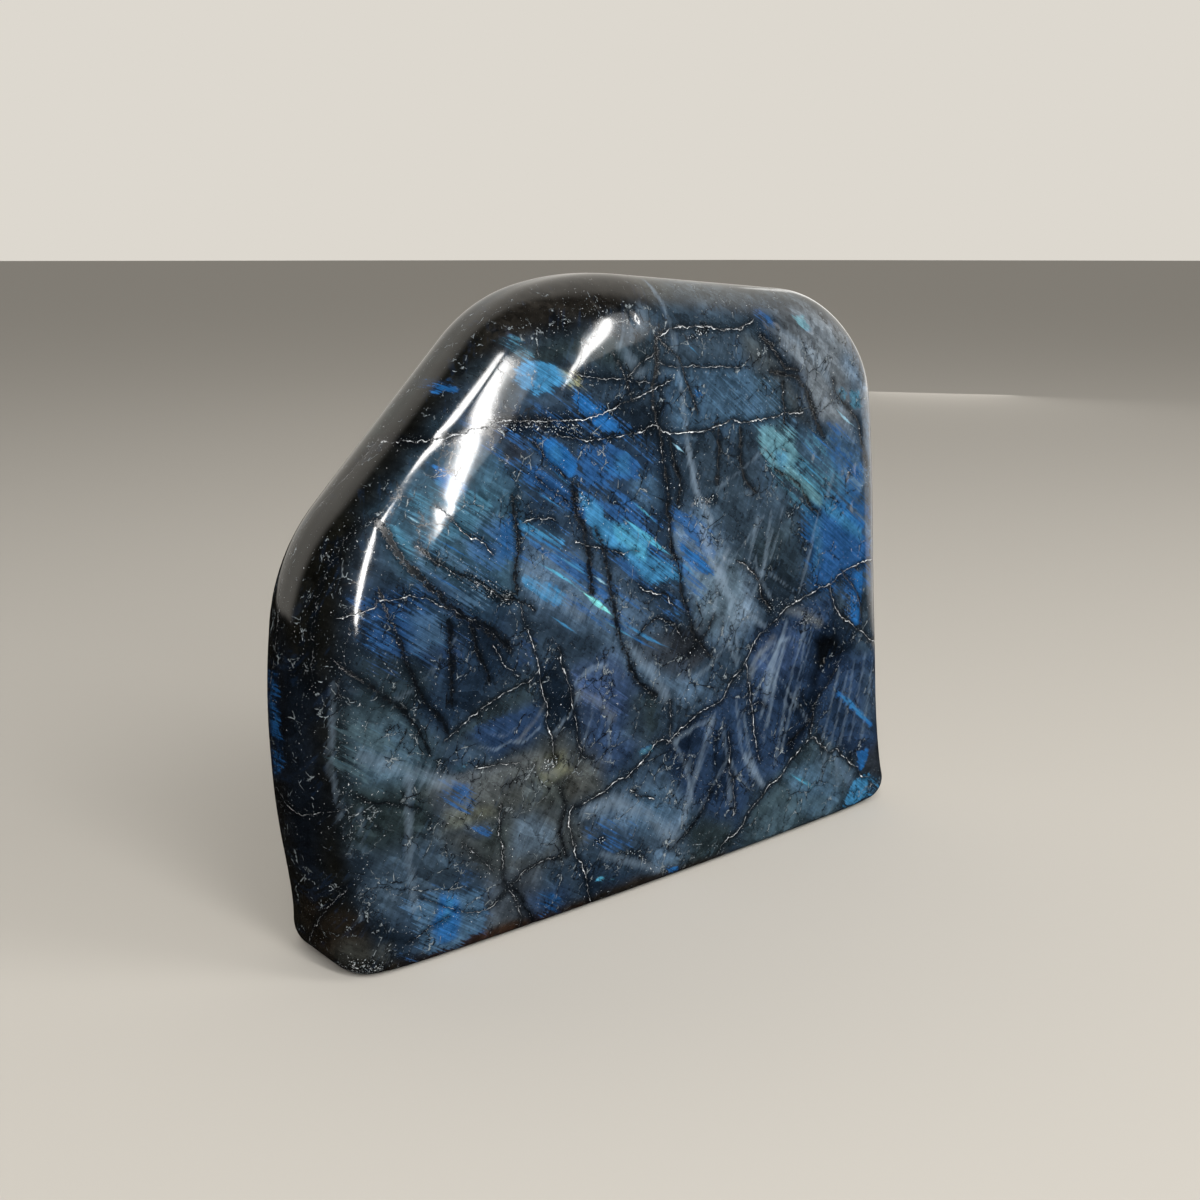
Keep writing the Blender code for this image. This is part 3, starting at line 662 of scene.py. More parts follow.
# Pits left open by the polish: x, z and radius in mm.
PITS = (
    (8.0, 85.2, 1.1), (10.5, 85.0, 0.8), (6.8, 84.6, 0.7), (43.3, 91.4, 1.0), (57.7, 86.7, 0.9),
    (56.0, 85.0, 0.8), (16.4, 93.3, 0.6), (31.8, 120.7, 1.0), (33.6, 120.4, 0.7), (40.5, 118.3, 0.5),
    (2.8, 79.8, 0.7), (5.5, 77.5, 0.6), (9.8, 77.8, 0.6), (13.0, 71.0, 0.7), (16.0, 72.0, 0.8),
    (58.0, 78.4, 0.7), (-14.7, 126.7, 0.8), (-7.5, 123.5, 0.4), (-15.2, 114.7, 0.6), (15.0, 105.3, 0.5),
    (-69.0, 52.5, 0.9), (-66.0, 52.2, 0.8), (-72.0, 59.0, 0.7), (-18.4, 16.0, 1.0), (-4.7, 7.5, 0.8),
    (-2.2, 5.0, 0.6), (40.0, 24.0, 0.8), (49.5, 42.8, 0.7), (22.0, 56.0, 0.5), (-39.6, 99.0, 1.0),
    (28.4, 118.6, 0.6),
)

# Crumbly places, thick with pale and black grains. Their tone isn't used.
CRUMBS = patches("""
CREAM 1.0 1.0 | -34.5,37 -30.3,37 -30.3,34.5 -34.5,34.5
CREAM 0.6 2.4 0.5 | -60,32 -55.5,29.4 -51,30.4 -47,28.4 -43.7,29.6
CREAM 0.8 1.0 | -59,44 -56.5,44 -56.5,40 -59,40
CREAM 1.0 0.8 | 6.4,118 12.6,121.7 12.6,119 8,117.6
CREAM 0.9 0.8 | 6.5,86.4 12,86 12,84 6.5,84
CREAM 0.8 1.0 | 26,119.4 30,119.4 30,117.6 26,117.6
CREAM 0.8 0.8 | 34,81.7 37,81.7 37,79.4 34,79.4
CREAM 0.8 0.8 | -19.7,17 -17.2,17 -17.2,15 -19.7,15
CREAM 0.8 0.8 0.7 | -12,11.4 -7,10 -4,7 -2,4.5
CREAM 0.8 1.2 1.5 | -44,106 -38,104 -30,104 -24,102
CREAM 0.8 1.2 1.5 | -52,78 -46,74 -42,72
CREAM 0.9 1.5 1.2 | -25,90 -22.5,88.4 -25,86.5
CREAM 0.16 1.5 1.5 | -76,66 -73,60 -76,52 -78,40 -76,30
CREAM 0.9 1.5 | -76,6 -70,6 -68,0 -76,0
CREAM 0.6 2.0 | 26,63 34,62 42,63 36,58 28,57
CREAM 0.6 1.5 1.0 | 38,54 44,54 50,51
CREAM 0.7 1.0 | 55,87.5 59,86.5 59,85 55,85
CREAM 0.7 1.0 | 40.6,26 38.6,24 40,22.4 41.6,24
CREAM 0.36 2.0 | -22,128 -8,127 -4,122 -18,121 -30,119
""")


@dataclass(frozen=True)
class Corner:
    """A corner of the outline seen from the front, in mm."""

    x: float
    z: float
    radius: float


@dataclass(frozen=True)
class StoneForm:
    """The slab's shape: a rounded outline, crowned broad faces and a rim that rolls over between them."""

    corners: tuple[Corner, ...] = (
        Corner(79.0, 0.0, 6.0),
        Corner(70.0, 61.0, 300.0),
        Corner(65.7, 126.5, 25.0),
        Corner(-15.3, 132.3, 80.0),
        Corner(-35.8, 127.6, 35.0),
        Corner(-81.2, 80.8, 40.0),
        Corner(-84.4, 54.4, 160.0),
        Corner(-83.8, 32.0, 130.0),
        Corner(-79.0, 0.0, 7.0),
    )
    patch_corners: tuple[int, ...] = (0, 2, 5, 8)  # between these a broad face's quads are stretched
    half: float = 19.4  # mm, half the thickness at the middle of the face
    crown: tuple[float, float] = (80.0, 65.0)  # mm from the middle to the ends, and to base and top
    fall: tuple[float, float] = (1.8, 4.0)  # mm that the faces fall away there
    rim_left: float = 25.0  # mm in from the outline where the face starts to roll over
    rim_top: float = 19.0
    rim_right: float = 10.6
    rim_base: float = 3.6
    low_height: float = 30.0  # mm above the base where the side rims start to get tighter
    low_keep: float = 0.45  # the share of their depth that they keep down at the base
    roll_share: float = 0.92  # the share of half the thickness that rolls over
    squareness: float = 2.2  # the power of the roll's curve; 2 is an ellipse
    ease: float = 6.0  # mm of outline over which one kind of rim runs into the next
    columns: int = 178  # quads across a broad face
    rows: int = 150  # quads up it
    rim_loops: int = 27  # quads from a face to the edge
    edge_rows: int = 5  # quads across the edge
    turn_weight: float = 14.0  # mm of outline that a turn of one radian counts for, so corners get points
    step: float = 0.25  # mm between the outline's dense points
    evening_passes: int = 260
    over_relaxation: float = 1.95
    front_map_low: float = 0.33  # the front half takes the flattened map above this height
    map_gap: float = 0.006  # the gap round each half of the map

    def corner_arc(self, before: np.ndarray, corner: np.ndarray, after: np.ndarray, radius: float) -> tuple:
        """Rounds one corner.

        Args:
            before: the corner before it, x and z in mm.
            corner: the corner itself.
            after: the corner after it.
            radius: the rounding radius in mm.

        Returns:
            The arc's points, and the angles of their outward normals.
        """
        back = (before - corner) / np.linalg.norm(before - corner)
        ahead = (after - corner) / np.linalg.norm(after - corner)
        half_angle = 0.5 * math.acos(back @ ahead)
        room = 0.49 * min(np.linalg.norm(before - corner), np.linalg.norm(after - corner))
        reach = min(radius / math.tan(half_angle), room)
        radius = reach * math.tan(half_angle)
        towards_centre = (back + ahead) / np.linalg.norm(back + ahead)
        centre = corner + towards_centre * radius / math.sin(half_angle)
        bulges = math.copysign(1.0, ahead[0] * back[1] - ahead[1] * back[0])
        turn = bulges * (math.pi - 2.0 * half_angle)
        start = bulges * (corner + back * reach - centre)
        steps = max(2, math.ceil(radius * abs(turn) / self.step))
        angles = math.atan2(start[1], start[0]) + turn * np.linspace(0.0, 1.0, steps + 1)
        return centre + bulges * radius * np.column_stack((np.cos(angles), np.sin(angles))), angles

    def eased(self, values: np.ndarray, step: float) -> np.ndarray:
        """Blurs values along the closed outline.

        Args:
            values: one row for each even step of the outline.
            step: the step in mm.

        Returns:
            The values, changing over about the ease length.
        """
        count = len(values)
        away = np.minimum(np.arange(count), count - np.arange(count)) * step
        weights = np.exp(-0.5 * (away / self.ease) ** 2)
        spectrum = np.fft.rfft(values, axis=0).T * np.fft.rfft(weights / weights.sum())
        return np.fft.irfft(spectrum, n=count, axis=-1).T

    def outline_loop(self) -> tuple[np.ndarray, ...]:
        """Shares points out along the outline.

        Returns:
            Outline points, inward directions, rim depths and the base's share, one row for each point.
        """
        corners = np.array([(c.x, c.z) for c in self.corners])
        arcs, turned, middles = [], [], []
        for i, corner in enumerate(self.corners):
            after = corners[(i + 1) % len(corners)]
            arc, angles = self.corner_arc(corners[i - 1], corners[i], after, corner.radius)
            middles.append(sum(map(len, arcs)) + len(arc) // 2)
            arcs.append(arc)
            turned.append(angles)
        points = np.vstack(arcs)
        angles = np.unwrap(np.concatenate(turned))
        lengths = np.linalg.norm(np.diff(points, axis=0, append=points[:1]), axis=1)
        turns = np.abs(np.diff(angles, append=angles[0] + 2.0 * math.pi))
        measure = np.concatenate(([0.0], np.cumsum(lengths + self.turn_weight * turns)))
        length = np.concatenate(([0.0], np.cumsum(lengths)))

        even = np.linspace(0.0, length[-1], round(length[-1] / self.step), endpoint=False)
        closed = np.vstack((points, points[:1]))
        x, z = np.interp(even, length, closed[:, 0]), np.interp(even, length, closed[:, 1])
        facing = np.interp(even, length, np.append(angles, angles[0] + 2.0 * math.pi))
        outward = np.column_stack((np.cos(facing), np.sin(facing)))
        right, left = np.maximum(outward[:, 0], 0.0) ** 2, np.maximum(-outward[:, 0], 0.0) ** 2
        up, down = np.maximum(outward[:, 1], 0.0) ** 2, np.maximum(-outward[:, 1], 0.0) ** 2
        low = smooth_step(1.0 - z / self.low_height)
        sides = self.rim_left * left + self.rim_right * right + self.rim_top * up
        rim = self.eased(sides * (1.0 - low * (1.0 - self.low_keep)) + self.rim_base * down, even[1])
        base = self.eased(down, even[1])
        outward = self.eased(outward, even[1])
        outward /= np.linalg.norm(outward, axis=1)[:, None]

        starts = [measure[middles[i]] for i in self.patch_corners]
        starts.append(starts[0] + measure[-1])
        counts = (self.rows, self.columns, self.rows, self.columns)
        wanted = [np.linspace(a, b, n, endpoint=False) for a, b, n in zip(starts, starts[1:], counts)]
        along = np.interp(np.concatenate(wanted) % measure[-1], measure, length)
        table = np.column_stack((x, z, -outward, rim, base))
        table = np.vstack((table, table[:1]))
        even = np.append(even, length[-1])
        found = np.column_stack([np.interp(along, even, column) for column in table.T])
        return found[:, :2], found[:, 2:4], found[:, 4], found[:, 5]

    def half_thickness(self, x: np.ndarray, z: np.ndarray) -> np.ndarray:
        """Half the slab's thickness at places of its broad face, in mm."""
        across, up = x / self.crown[0], (z - self.crown[1]) / self.crown[1]
        return self.half - self.fall[0] * across**2 - self.fall[1] * up**2

    def rim_rings(self) -> np.ndarray:
        """Lays the loops that run round the rim.

        Returns:
            Loops from the front face's edge to the back face's, by points, by x, y and z in mm.
        """
        points, inward, rim, base = self.outline_loop()
        power = 2.0 / self.squareness
        angles = np.linspace(0.0, 0.5 * math.pi, self.rim_loops + 1)
        inset = 1.0 - np.sin(angles) ** power
        bulge = np.cos(angles) ** power
        bulge[-1] = 0.0
        between = np.linspace(-1.0, 1.0, self.edge_rows + 1)[1:-1]
        insets = np.concatenate((inset, np.zeros(len(between)), inset[::-1]))
        middles = np.concatenate((np.full(len(angles), -1.0), between, np.full(len(angles), 1.0)))
        bulges = np.concatenate((-bulge, np.zeros(len(between)), bulge[::-1]))
        placed = points + inward * rim[:, None] * insets[:, None, None]
        x, z = placed[..., 0], np.maximum(placed[..., 1], 0.0)
        half = self.half_thickness(x, z)
        roll = half * self.roll_share * (1.0 - base) + self.rim_base * base
        y = middles[:, None] * (half - roll) + bulges[:, None] * roll
        return np.stack((x, y, z), axis=-1)

    def face_grid(self, border: np.ndarray, side: float) -> np.ndarray:
        """Spreads points evenly across one broad face.

        Args:
            border: the loop round the face.
            side: -1 for the front, 1 for the back.

        Returns:
            Points by column and row, whose edges are the border.
        """
        columns, rows = self.columns, self.rows
        u = np.linspace(0.0, 1.0, columns + 1)[:, None, None]
        v = np.linspace(0.0, 1.0, rows + 1)[None, :, None]
        closed = np.vstack((border, border[:1]))
        right = closed[None, : rows + 1]
        top = closed[rows : rows + columns + 1][::-1, None]
        left = closed[None, rows + columns : 2 * rows + columns + 1][:, ::-1]
        bottom = closed[2 * rows + columns :][:, None]
        ends = (1 - u) * (1 - v) * bottom[:1] + u * (1 - v) * bottom[-1:]
        ends = ends + u * v * top[-1:] + (1 - u) * v * top[:1]
        grid = (1 - v) * bottom + v * top + (1 - u) * left + u * right - ends
        parity = np.indices((columns - 1, rows - 1)).sum(axis=0)[..., None] % 2
        for turn in range(2 * self.evening_passes):
            around = grid[:-2, 1:-1] + grid[2:, 1:-1] + grid[1:-1, :-2] + grid[1:-1, 2:]
            change = self.over_relaxation * (0.25 * around - grid[1:-1, 1:-1])
            grid[1:-1, 1:-1] += np.where(parity == turn % 2, change, 0.0)
        inner = grid[1:-1, 1:-1]
        inner[..., 1] = side * self.half_thickness(inner[..., 0], inner[..., 2])
        return grid

    def border_index(self) -> np.ndarray:
        """Numbers the border of a face's grid.

        Returns:
            By column and row the number of the border's point there, and -1 inside it.
        """
        columns, rows = self.columns, self.rows
        index = np.full((columns + 1, rows + 1), -1)
        index[columns, :] = np.arange(rows + 1)
        index[::-1, rows] = np.arange(rows, rows + columns + 1)
        index[0, ::-1] = np.arange(rows + columns, 2 * rows + columns + 1)
        index[:, 0] = np.arange(2 * rows + columns, 2 * (rows + columns) + 1)
        return index % (2 * (rows + columns)) * (index >= 0) - (index < 0)

    def build(self, name: str) -> bpy.types.Object:
        """Builds the whole stone as one closed mesh with a flattened map of its surface.

        Args:
            name: the new object's name.

        Returns:
            The stone, centred over the origin, in metres.
        """
        rings = self.rim_rings()
        loops, count = rings.shape[:2]
        border = self.border_index()
        verts, quads = [rings.reshape(-1, 3)], []
        ring = np.arange(count)
        ahead = np.roll(ring, -1)
        for here in range(0, (loops - 1) * count, count):
            there = here + count
            quads.append(np.column_stack((here + ring, there + ring, there + ahead, here + ahead)))
        rim_faces = (loops - 1) * count
        flat = [part.reshape(-1, 2) for part in (self.unrolled(rings), self.unrolled(rings[::-1])[::-1])]
        for side, first in ((-1.0, 0), (1.0, (loops - 1) * count)):
            grid = self.face_grid(rings[0 if side < 0 else -1], side)
            index = np.where(border >= 0, border + first, -1)
            inner = index < 0
            index[inner] = sum(map(len, verts)) + np.arange(inner.sum())
            verts.append(grid[inner])
            for part in (0, 1):
                flat[part] = np.vstack((flat[part], grid[inner][:, [0, 2]]))
            corners = [index[:-1, :-1], index[1:, :-1], index[1:, 1:], index[:-1, 1:]]
            corners = corners if side < 0 else corners[::-1]
            quads.append(np.stack([c.ravel() for c in corners], axis=-1))
        verts, quads = np.vstack(verts), np.vstack(quads)
        middle = 0.5 * (verts[:, 0].min() + verts[:, 0].max())
        verts[:, 0] -= middle

        mesh = bpy.data.meshes.new(name)
        mesh.from_pydata(verts * MM, [], quads.tolist())
        face = np.arange(len(quads))
        broad = (len(quads) - rim_faces) // 2
        at_back = np.where(face < rim_faces, face // count >= (loops - 1) // 2, face >= rim_faces + broad)
        places = np.where(at_back[:, None, None], flat[1][quads], flat[0][quads])
        layer = mesh.uv_layers.new(name="OFBake")
        layer.data.foreach_set("uv", self.map_places(places, at_back).ravel())
        mesh.validate()
        mesh.shade_smooth()
        stone = bpy.data.objects.new(name, mesh)
        bpy.context.scene.collection.objects.link(stone)
        return stone

    def unrolled(self, rings: np.ndarray) -> np.ndarray:
        """Lays the rim out flat round its face, each loop further out by its distance along the surface.

        Args:
            rings: the rim's loops, the face's own edge first.

        Returns:
            Flat x and z by loop and point, in mm.
        """
        lengths = np.linalg.norm(np.diff(rings, axis=0), axis=-1)
        out = np.concatenate((np.zeros((1, rings.shape[1])), np.cumsum(lengths, axis=0)))
        inward = self.outline_loop()[1]
        return rings[0][:, [0, 2]] - inward * out[..., None]

    def map_places(self, places: np.ndarray, at_back: np.ndarray) -> np.ndarray:
        """Fits the flattened faces in the unit square, the front above and the back, smaller, below.

        Args:
            places: flattened x and z by face and corner, in mm.
            at_back: True for each face of the back half.

        Returns:
            Map places in the same order.
        """
        mapped = np.empty_like(places)
        gap, split = self.map_gap, self.front_map_low
        for back, low, high in ((False, split, 1.0 - gap), (True, gap, split - gap)):
            part = places[at_back == back]
            part = part * (-1.0 if back else 1.0, 1.0)
            least, most = part.min(axis=(0, 1)), part.max(axis=(0, 1))
            share = (part - least) / (most - least)
            mapped[at_back == back] = (gap, low) + share * (1.0 - 2.0 * gap, high - low)
        return mapped


def smooth_step(values: np.ndarray) -> np.ndarray:
    """Clips values to 0 and 1 and eases them in between."""
    values = np.clip(values, 0.0, 1.0)
    return values * values * (3.0 - 2.0 * values)


def smooth_route(places: np.ndarray, step: float = 0.8) -> np.ndarray:
    """Draws a smooth line through a route's places.

    Args:
        places: the route's places in mm.
        step: about how far apart the new places are.

    Returns:
        Places along the line.
    """
    ends = np.vstack((2 * places[0] - places[1], places, 2 * places[-1] - places[-2]))
    pieces = []
    for a, b, c, d in zip(ends, ends[1:], ends[2:], ends[3:]):
        t = np.linspace(0.0, 1.0, max(2, math.ceil(np.linalg.norm(c - b) / step)), endpoint=False)[:, None]
        square, cube = 2 * a - 5 * b + 4 * c - d, 3 * b - a - 3 * c + d
        pieces.append(0.5 * (2 * b + (c - a) * t + square * t**2 + cube * t**3))
    return np.vstack((*pieces, places[-1:]))


@dataclass(frozen=True)
class Nearness:
    """How places lie to a line: their distance, on which side, how far along it and how far past its ends."""

    distance: np.ndarray
    side: np.ndarray
    along: np.ndarray
    beyond: np.ndarray

    def pick(self, rows: np.ndarray) -> "Nearness":
        """The same for some of the places only."""
        return Nearness(self.distance[rows], self.side[rows], self.along[rows], self.beyond[rows])


def nearness(places: np.ndarray, line: np.ndarray) -> Nearness:
    """Measures places against a line of straight pieces.

    Args:
        places: x and z of each place, in mm.
        line: the line's own places in order.

    Returns:
        The places' nearness to the line.
    """
    start, step = line[:-1], np.diff(line, axis=0)
    length = np.linalg.norm(step, axis=1)
    offset = places[:, None] - start
    share = np.clip((offset * step).sum(axis=2) / length**2, 0.0, 1.0)
    gap = np.linalg.norm(offset - share[..., None] * step, axis=2)
    nearest = gap.argmin(axis=1)
    row = np.arange(len(places))
    offset, step_there = offset[row, nearest], step[nearest]
    across = (step_there[:, 0] * offset[:, 1] - step_there[:, 1] * offset[:, 0]) / length[nearest]
    distance = gap[row, nearest]
    run = np.concatenate(([0.0], np.cumsum(length)))
    share = share[row, nearest]
    past = ((nearest == 0) & (share == 0.0)) | ((nearest == len(length) - 1) & (share == 1.0))
    beyond = np.where(past, np.sqrt(np.maximum(distance**2 - across**2, 0.0)), 0.0)
    distance = np.where(past, np.abs(across), distance)
    return Nearness(distance, np.sign(across), run[nearest] + share * length[nearest], beyond)


def inside(places: np.ndarray, outline: np.ndarray) -> np.ndarray:
    """Tells which places lie inside a closed outline.

    Args:
        places: x and z of each place, in mm.
        outline: the outline's own places in order.

    Returns:
        True for each place inside it.
    """
    found = np.zeros(len(places), bool)
    for (x0, z0), (x1, z1) in zip(outline, np.roll(outline, -1, axis=0)):
        crosses = (z0 > places[:, 1]) != (z1 > places[:, 1])
        with np.errstate(divide="ignore", invalid="ignore"):
            found ^= crosses & (places[:, 0] < x0 + (x1 - x0) * (places[:, 1] - z0) / (z1 - z0))
    return found


@dataclass
class Painter:
    """Lays the listed marks on a stone's points, as attributes that its material reads."""

    stone: bpy.types.Object
    seed: int = 7  # sets how the patches' edges stray
    wander: float = 0.55  # mm that a patch's edge strays from its outline
    waves: tuple[float, ...] = (17.0, 11.0, 7.0, 4.5, 3.0)  # mm from crest to crest of that straying
    crisp_edge: float = 1.2  # mm: an edge at most this soft is a crisp one
    crisp_softening: float = 1.2  # how much softer than given a crisp closed edge is drawn
    softening: float = 1.7  # the same for other closed edges
    halves_blend: float = 8.0  # mm of thickness over which the front's marks give way to the back's
    end_facing: float = 0.45  # how squarely a point must face an end before it takes that end's marks
    end_blend: float = 0.3  # how much more squarely it must face it to take them in full
    measured: float = 6.0  # mm round a line within which distances to it are measured
    line_reach: float = 1.4  # mm on each side of a line that carry its distance
    line_fade: float = 0.8  # mm over which a line's width falls to nothing there
    overrun: float = 1.2  # mm past a line's ends where its width reaches nothing
    clear: float = 0.9  # mm more that another line in the same layer keeps away
    end_width: float = 0.12  # the share of its width that a tapering line keeps at its ends
    far: float = 9.0  # mm: the distance that stands for no line near

    def __post_init__(self) -> None:
        """Reads the stone's points."""
        self.mesh = self.stone.data
        count = len(self.mesh.vertices)
        points = np.empty(3 * count)
        normals = np.empty(3 * count, np.float32)
        self.mesh.vertices.foreach_get("co", points)
        self.mesh.vertex_normals.foreach_get("vector", normals)
        self.points = points.reshape(-1, 3) / MM
        self.normals = normals.reshape(-1, 3)
        self.strays = self.straying()

    def straying(self) -> np.ndarray:
        """Makes a small smooth offset for each point, from a few waves that run in random directions.

        Returns:
            Each point's offset sideways and up, in mm.
        """
        draw = np.random.default_rng(self.seed)
        offset = np.zeros((len(self.points), 2))
        for wave in self.waves:
            for axis in (0, 1):
                heading = draw.normal(size=3)
                heading *= 2.0 * math.pi / (wave * np.linalg.norm(heading))
                phase = draw.uniform(0.0, 6.3)
                offset[:, axis] += np.sin(self.points @ heading + phase) * wave / self.waves[0]
        return offset * self.wander

    def places(self, side: Side, strayed: bool = True) -> np.ndarray:
        """Each point's place on a side, sideways and up, in mm."""
        return self.points[:, [side.value[0], 2]] + (self.strays if strayed else 0.0)

    def share(self, side: Side) -> np.ndarray:
        """Tells how much the points belong to a side.

        Args:
            side: the side.

        Returns:
            Each point's share, from 0 to 1.
        """
        if side in (Side.FRONT, Side.BACK):
            return smooth_step(0.5 + self.points[:, 1] * side.value[1][1] / self.halves_blend)
        return smooth_step((self.normals @ np.array(side.value[1]) - self.end_facing) / self.end_blend)

    def cover(self, patch: Patch) -> np.ndarray:
        """Measures how strongly a patch covers the points.

        Args:
            patch: the patch.

        Returns:
            Each point's cover, from 0 to 1.
        """
        outline = patch.places
        line = outline if patch.reach else np.vstack((outline, outline[:1]))
        places = self.places(patch.side, strayed=not patch.reach)
        soft = patch.soft
        if not patch.reach:
            soft *= self.crisp_softening if soft <= self.crisp_edge else self.softening
        margin = patch.reach + soft
        near = ((places > line.min(axis=0) - margin) & (places < line.max(axis=0) + margin)).all(axis=1)
        near &= self.share(patch.side) > 0.0
        cover = np.zeros(len(places))
        found = nearness(places[near], line)
        distance = np.hypot(found.distance, found.beyond)
        if patch.reach:
            cover[near] = smooth_step(0.5 + (patch.reach - distance) / soft)
        else:
            inner = np.where(inside(places[near], outline), distance, -distance)
            cover[near] = smooth_step(0.5 + inner / soft)
        return cover * patch.strength * self.share(patch.side)

    def ground(self, laid: Iterable[Patch]) -> np.ndarray:
        """Blends patches one over the other.

        Args:
            laid: the grounds in order.

        Returns:
            Red, green, blue and 1 for each point.
        """
        colour = np.tile(Tone.BODY.rgb, (len(self.points), 1))
        for patch in laid:
            cover = self.cover(patch)[:, None]
            colour += cover * (np.array(patch.tone.rgb) - colour)
        return np.column_stack((colour, np.ones(len(colour))))

    def film(self, laid: Iterable[Patch]) -> np.ndarray:
        """Blends patches into a film over the ground.

        Args:
            laid: the film's patches in order.

        Returns:
            Red, green, blue and the film's strength for each point.
        """
        colour = np.tile(Tone.ROYAL.rgb, (len(self.points), 1))
        strength = np.zeros(len(self.points))
        for patch in laid:
            cover = self.cover(patch)
            under = strength * (1.0 - cover)
            strength = under + cover
            share = np.where(strength > 0.001, cover / np.maximum(strength, 0.001), 0.0)[:, None]
            colour += share * (np.array(patch.tone.rgb) - colour)
        return np.column_stack((colour, strength))

    def line_layers(self, marked: Sequence[Line], taper: float = 0.0) -> tuple[list[np.ndarray], np.ndarray]:
        """Shares lines out among layers in which no two come close to each other.

        Args:
            marked: the lines in order.
            taper: the share of a line's length over which each end narrows.

        Returns:
            For each layer and point the distance to the line in mm, below 0 on its right, its half width
            there, 0 and its tint. Then each point's distance to the nearest line of all.
        """
        layers: list[np.ndarray] = []
        taken: list[np.ndarray] = []
        nearest = np.full(len(self.points), math.inf)
        for number, line in enumerate(marked):
            path = smooth_route(line.places)
            places, share = self.places(line.side, strayed=False), self.share(line.side)
            reach = line.half_width + self.line_reach
            low, high = path.min(axis=0) - self.measured, path.max(axis=0) + self.measured
            near = np.flatnonzero(((places > low) & (places < high)).all(axis=1) & (share > 0.0))
            if not len(near):
                LOG.warning("line %d lies off the stone", number)
                continue
            found = nearness(places[near], path)
            whole = np.hypot(found.distance, found.beyond)
            nearest[near] = np.minimum(nearest[near], whole)
            close = whole < reach + self.clear
            near, found, whole = near[close], found.pick(close), whole[close]
            free = [i for i, used in enumerate(taken) if not used[near].any()]
            if not free:
                layers.append(np.tile((self.far, 0.0, 0.0, 0.0), (len(self.points), 1)))
                taken.append(np.zeros(len(self.points), bool))
            pick = free[0] if free else len(layers) - 1
            taken[pick][near] = True
            fade = np.clip((reach - whole) / self.line_fade, 0.0, 1.0)
            fade *= np.clip(self.overrun - found.beyond, 0.0, 1.0)
            if taper:
                length = np.linalg.norm(np.diff(path, axis=0), axis=1).sum()
                from_end = np.minimum(found.along, length - found.along)
                fade *= np.clip(from_end / (taper * length), self.end_width, 1.0)
            layers[pick][near, 0] = found.distance * found.side
            layers[pick][near, 1] = line.half_width * fade * share[near]
            layers[pick][near, 3] = line.tint
        return layers, nearest

    def store(self, name: str, values: np.ndarray) -> None:
        """Writes one attribute.

        Args:
            name: what the material calls it.
            values: a number for each point, or four of them.
        """
        kind = "FLOAT" if values.ndim == 1 else "FLOAT_COLOR"
        attribute = self.mesh.attributes.new(name, kind, "POINT")
        field = "value" if values.ndim == 1 else "color"
        attribute.data.foreach_set(field, values.astype(np.float32).ravel())


def add(tree: Tree, kind: str, sockets: dict | None = None, out: int | str = 0, **settings: object) -> Socket:
    """Adds a node.

    Args:
        tree: the tree to add to.
        kind: the node's type.
        sockets: for inputs by index or name, a value or the socket that feeds it.
        out: which output to return.
        settings: the node's own properties.

    Returns:
        One output socket of the new node.
    """
    node = tree.nodes.new(kind)
    for name, value in settings.items():
        setattr(node, name, value)
    for key, value in (sockets or {}).items():
        if isinstance(value, Socket):
            tree.links.new(value, node.inputs[key])
        else:
            node.inputs[key].default_value = value
    return node.outputs[out] if len(node.outputs) else node.inputs[0]


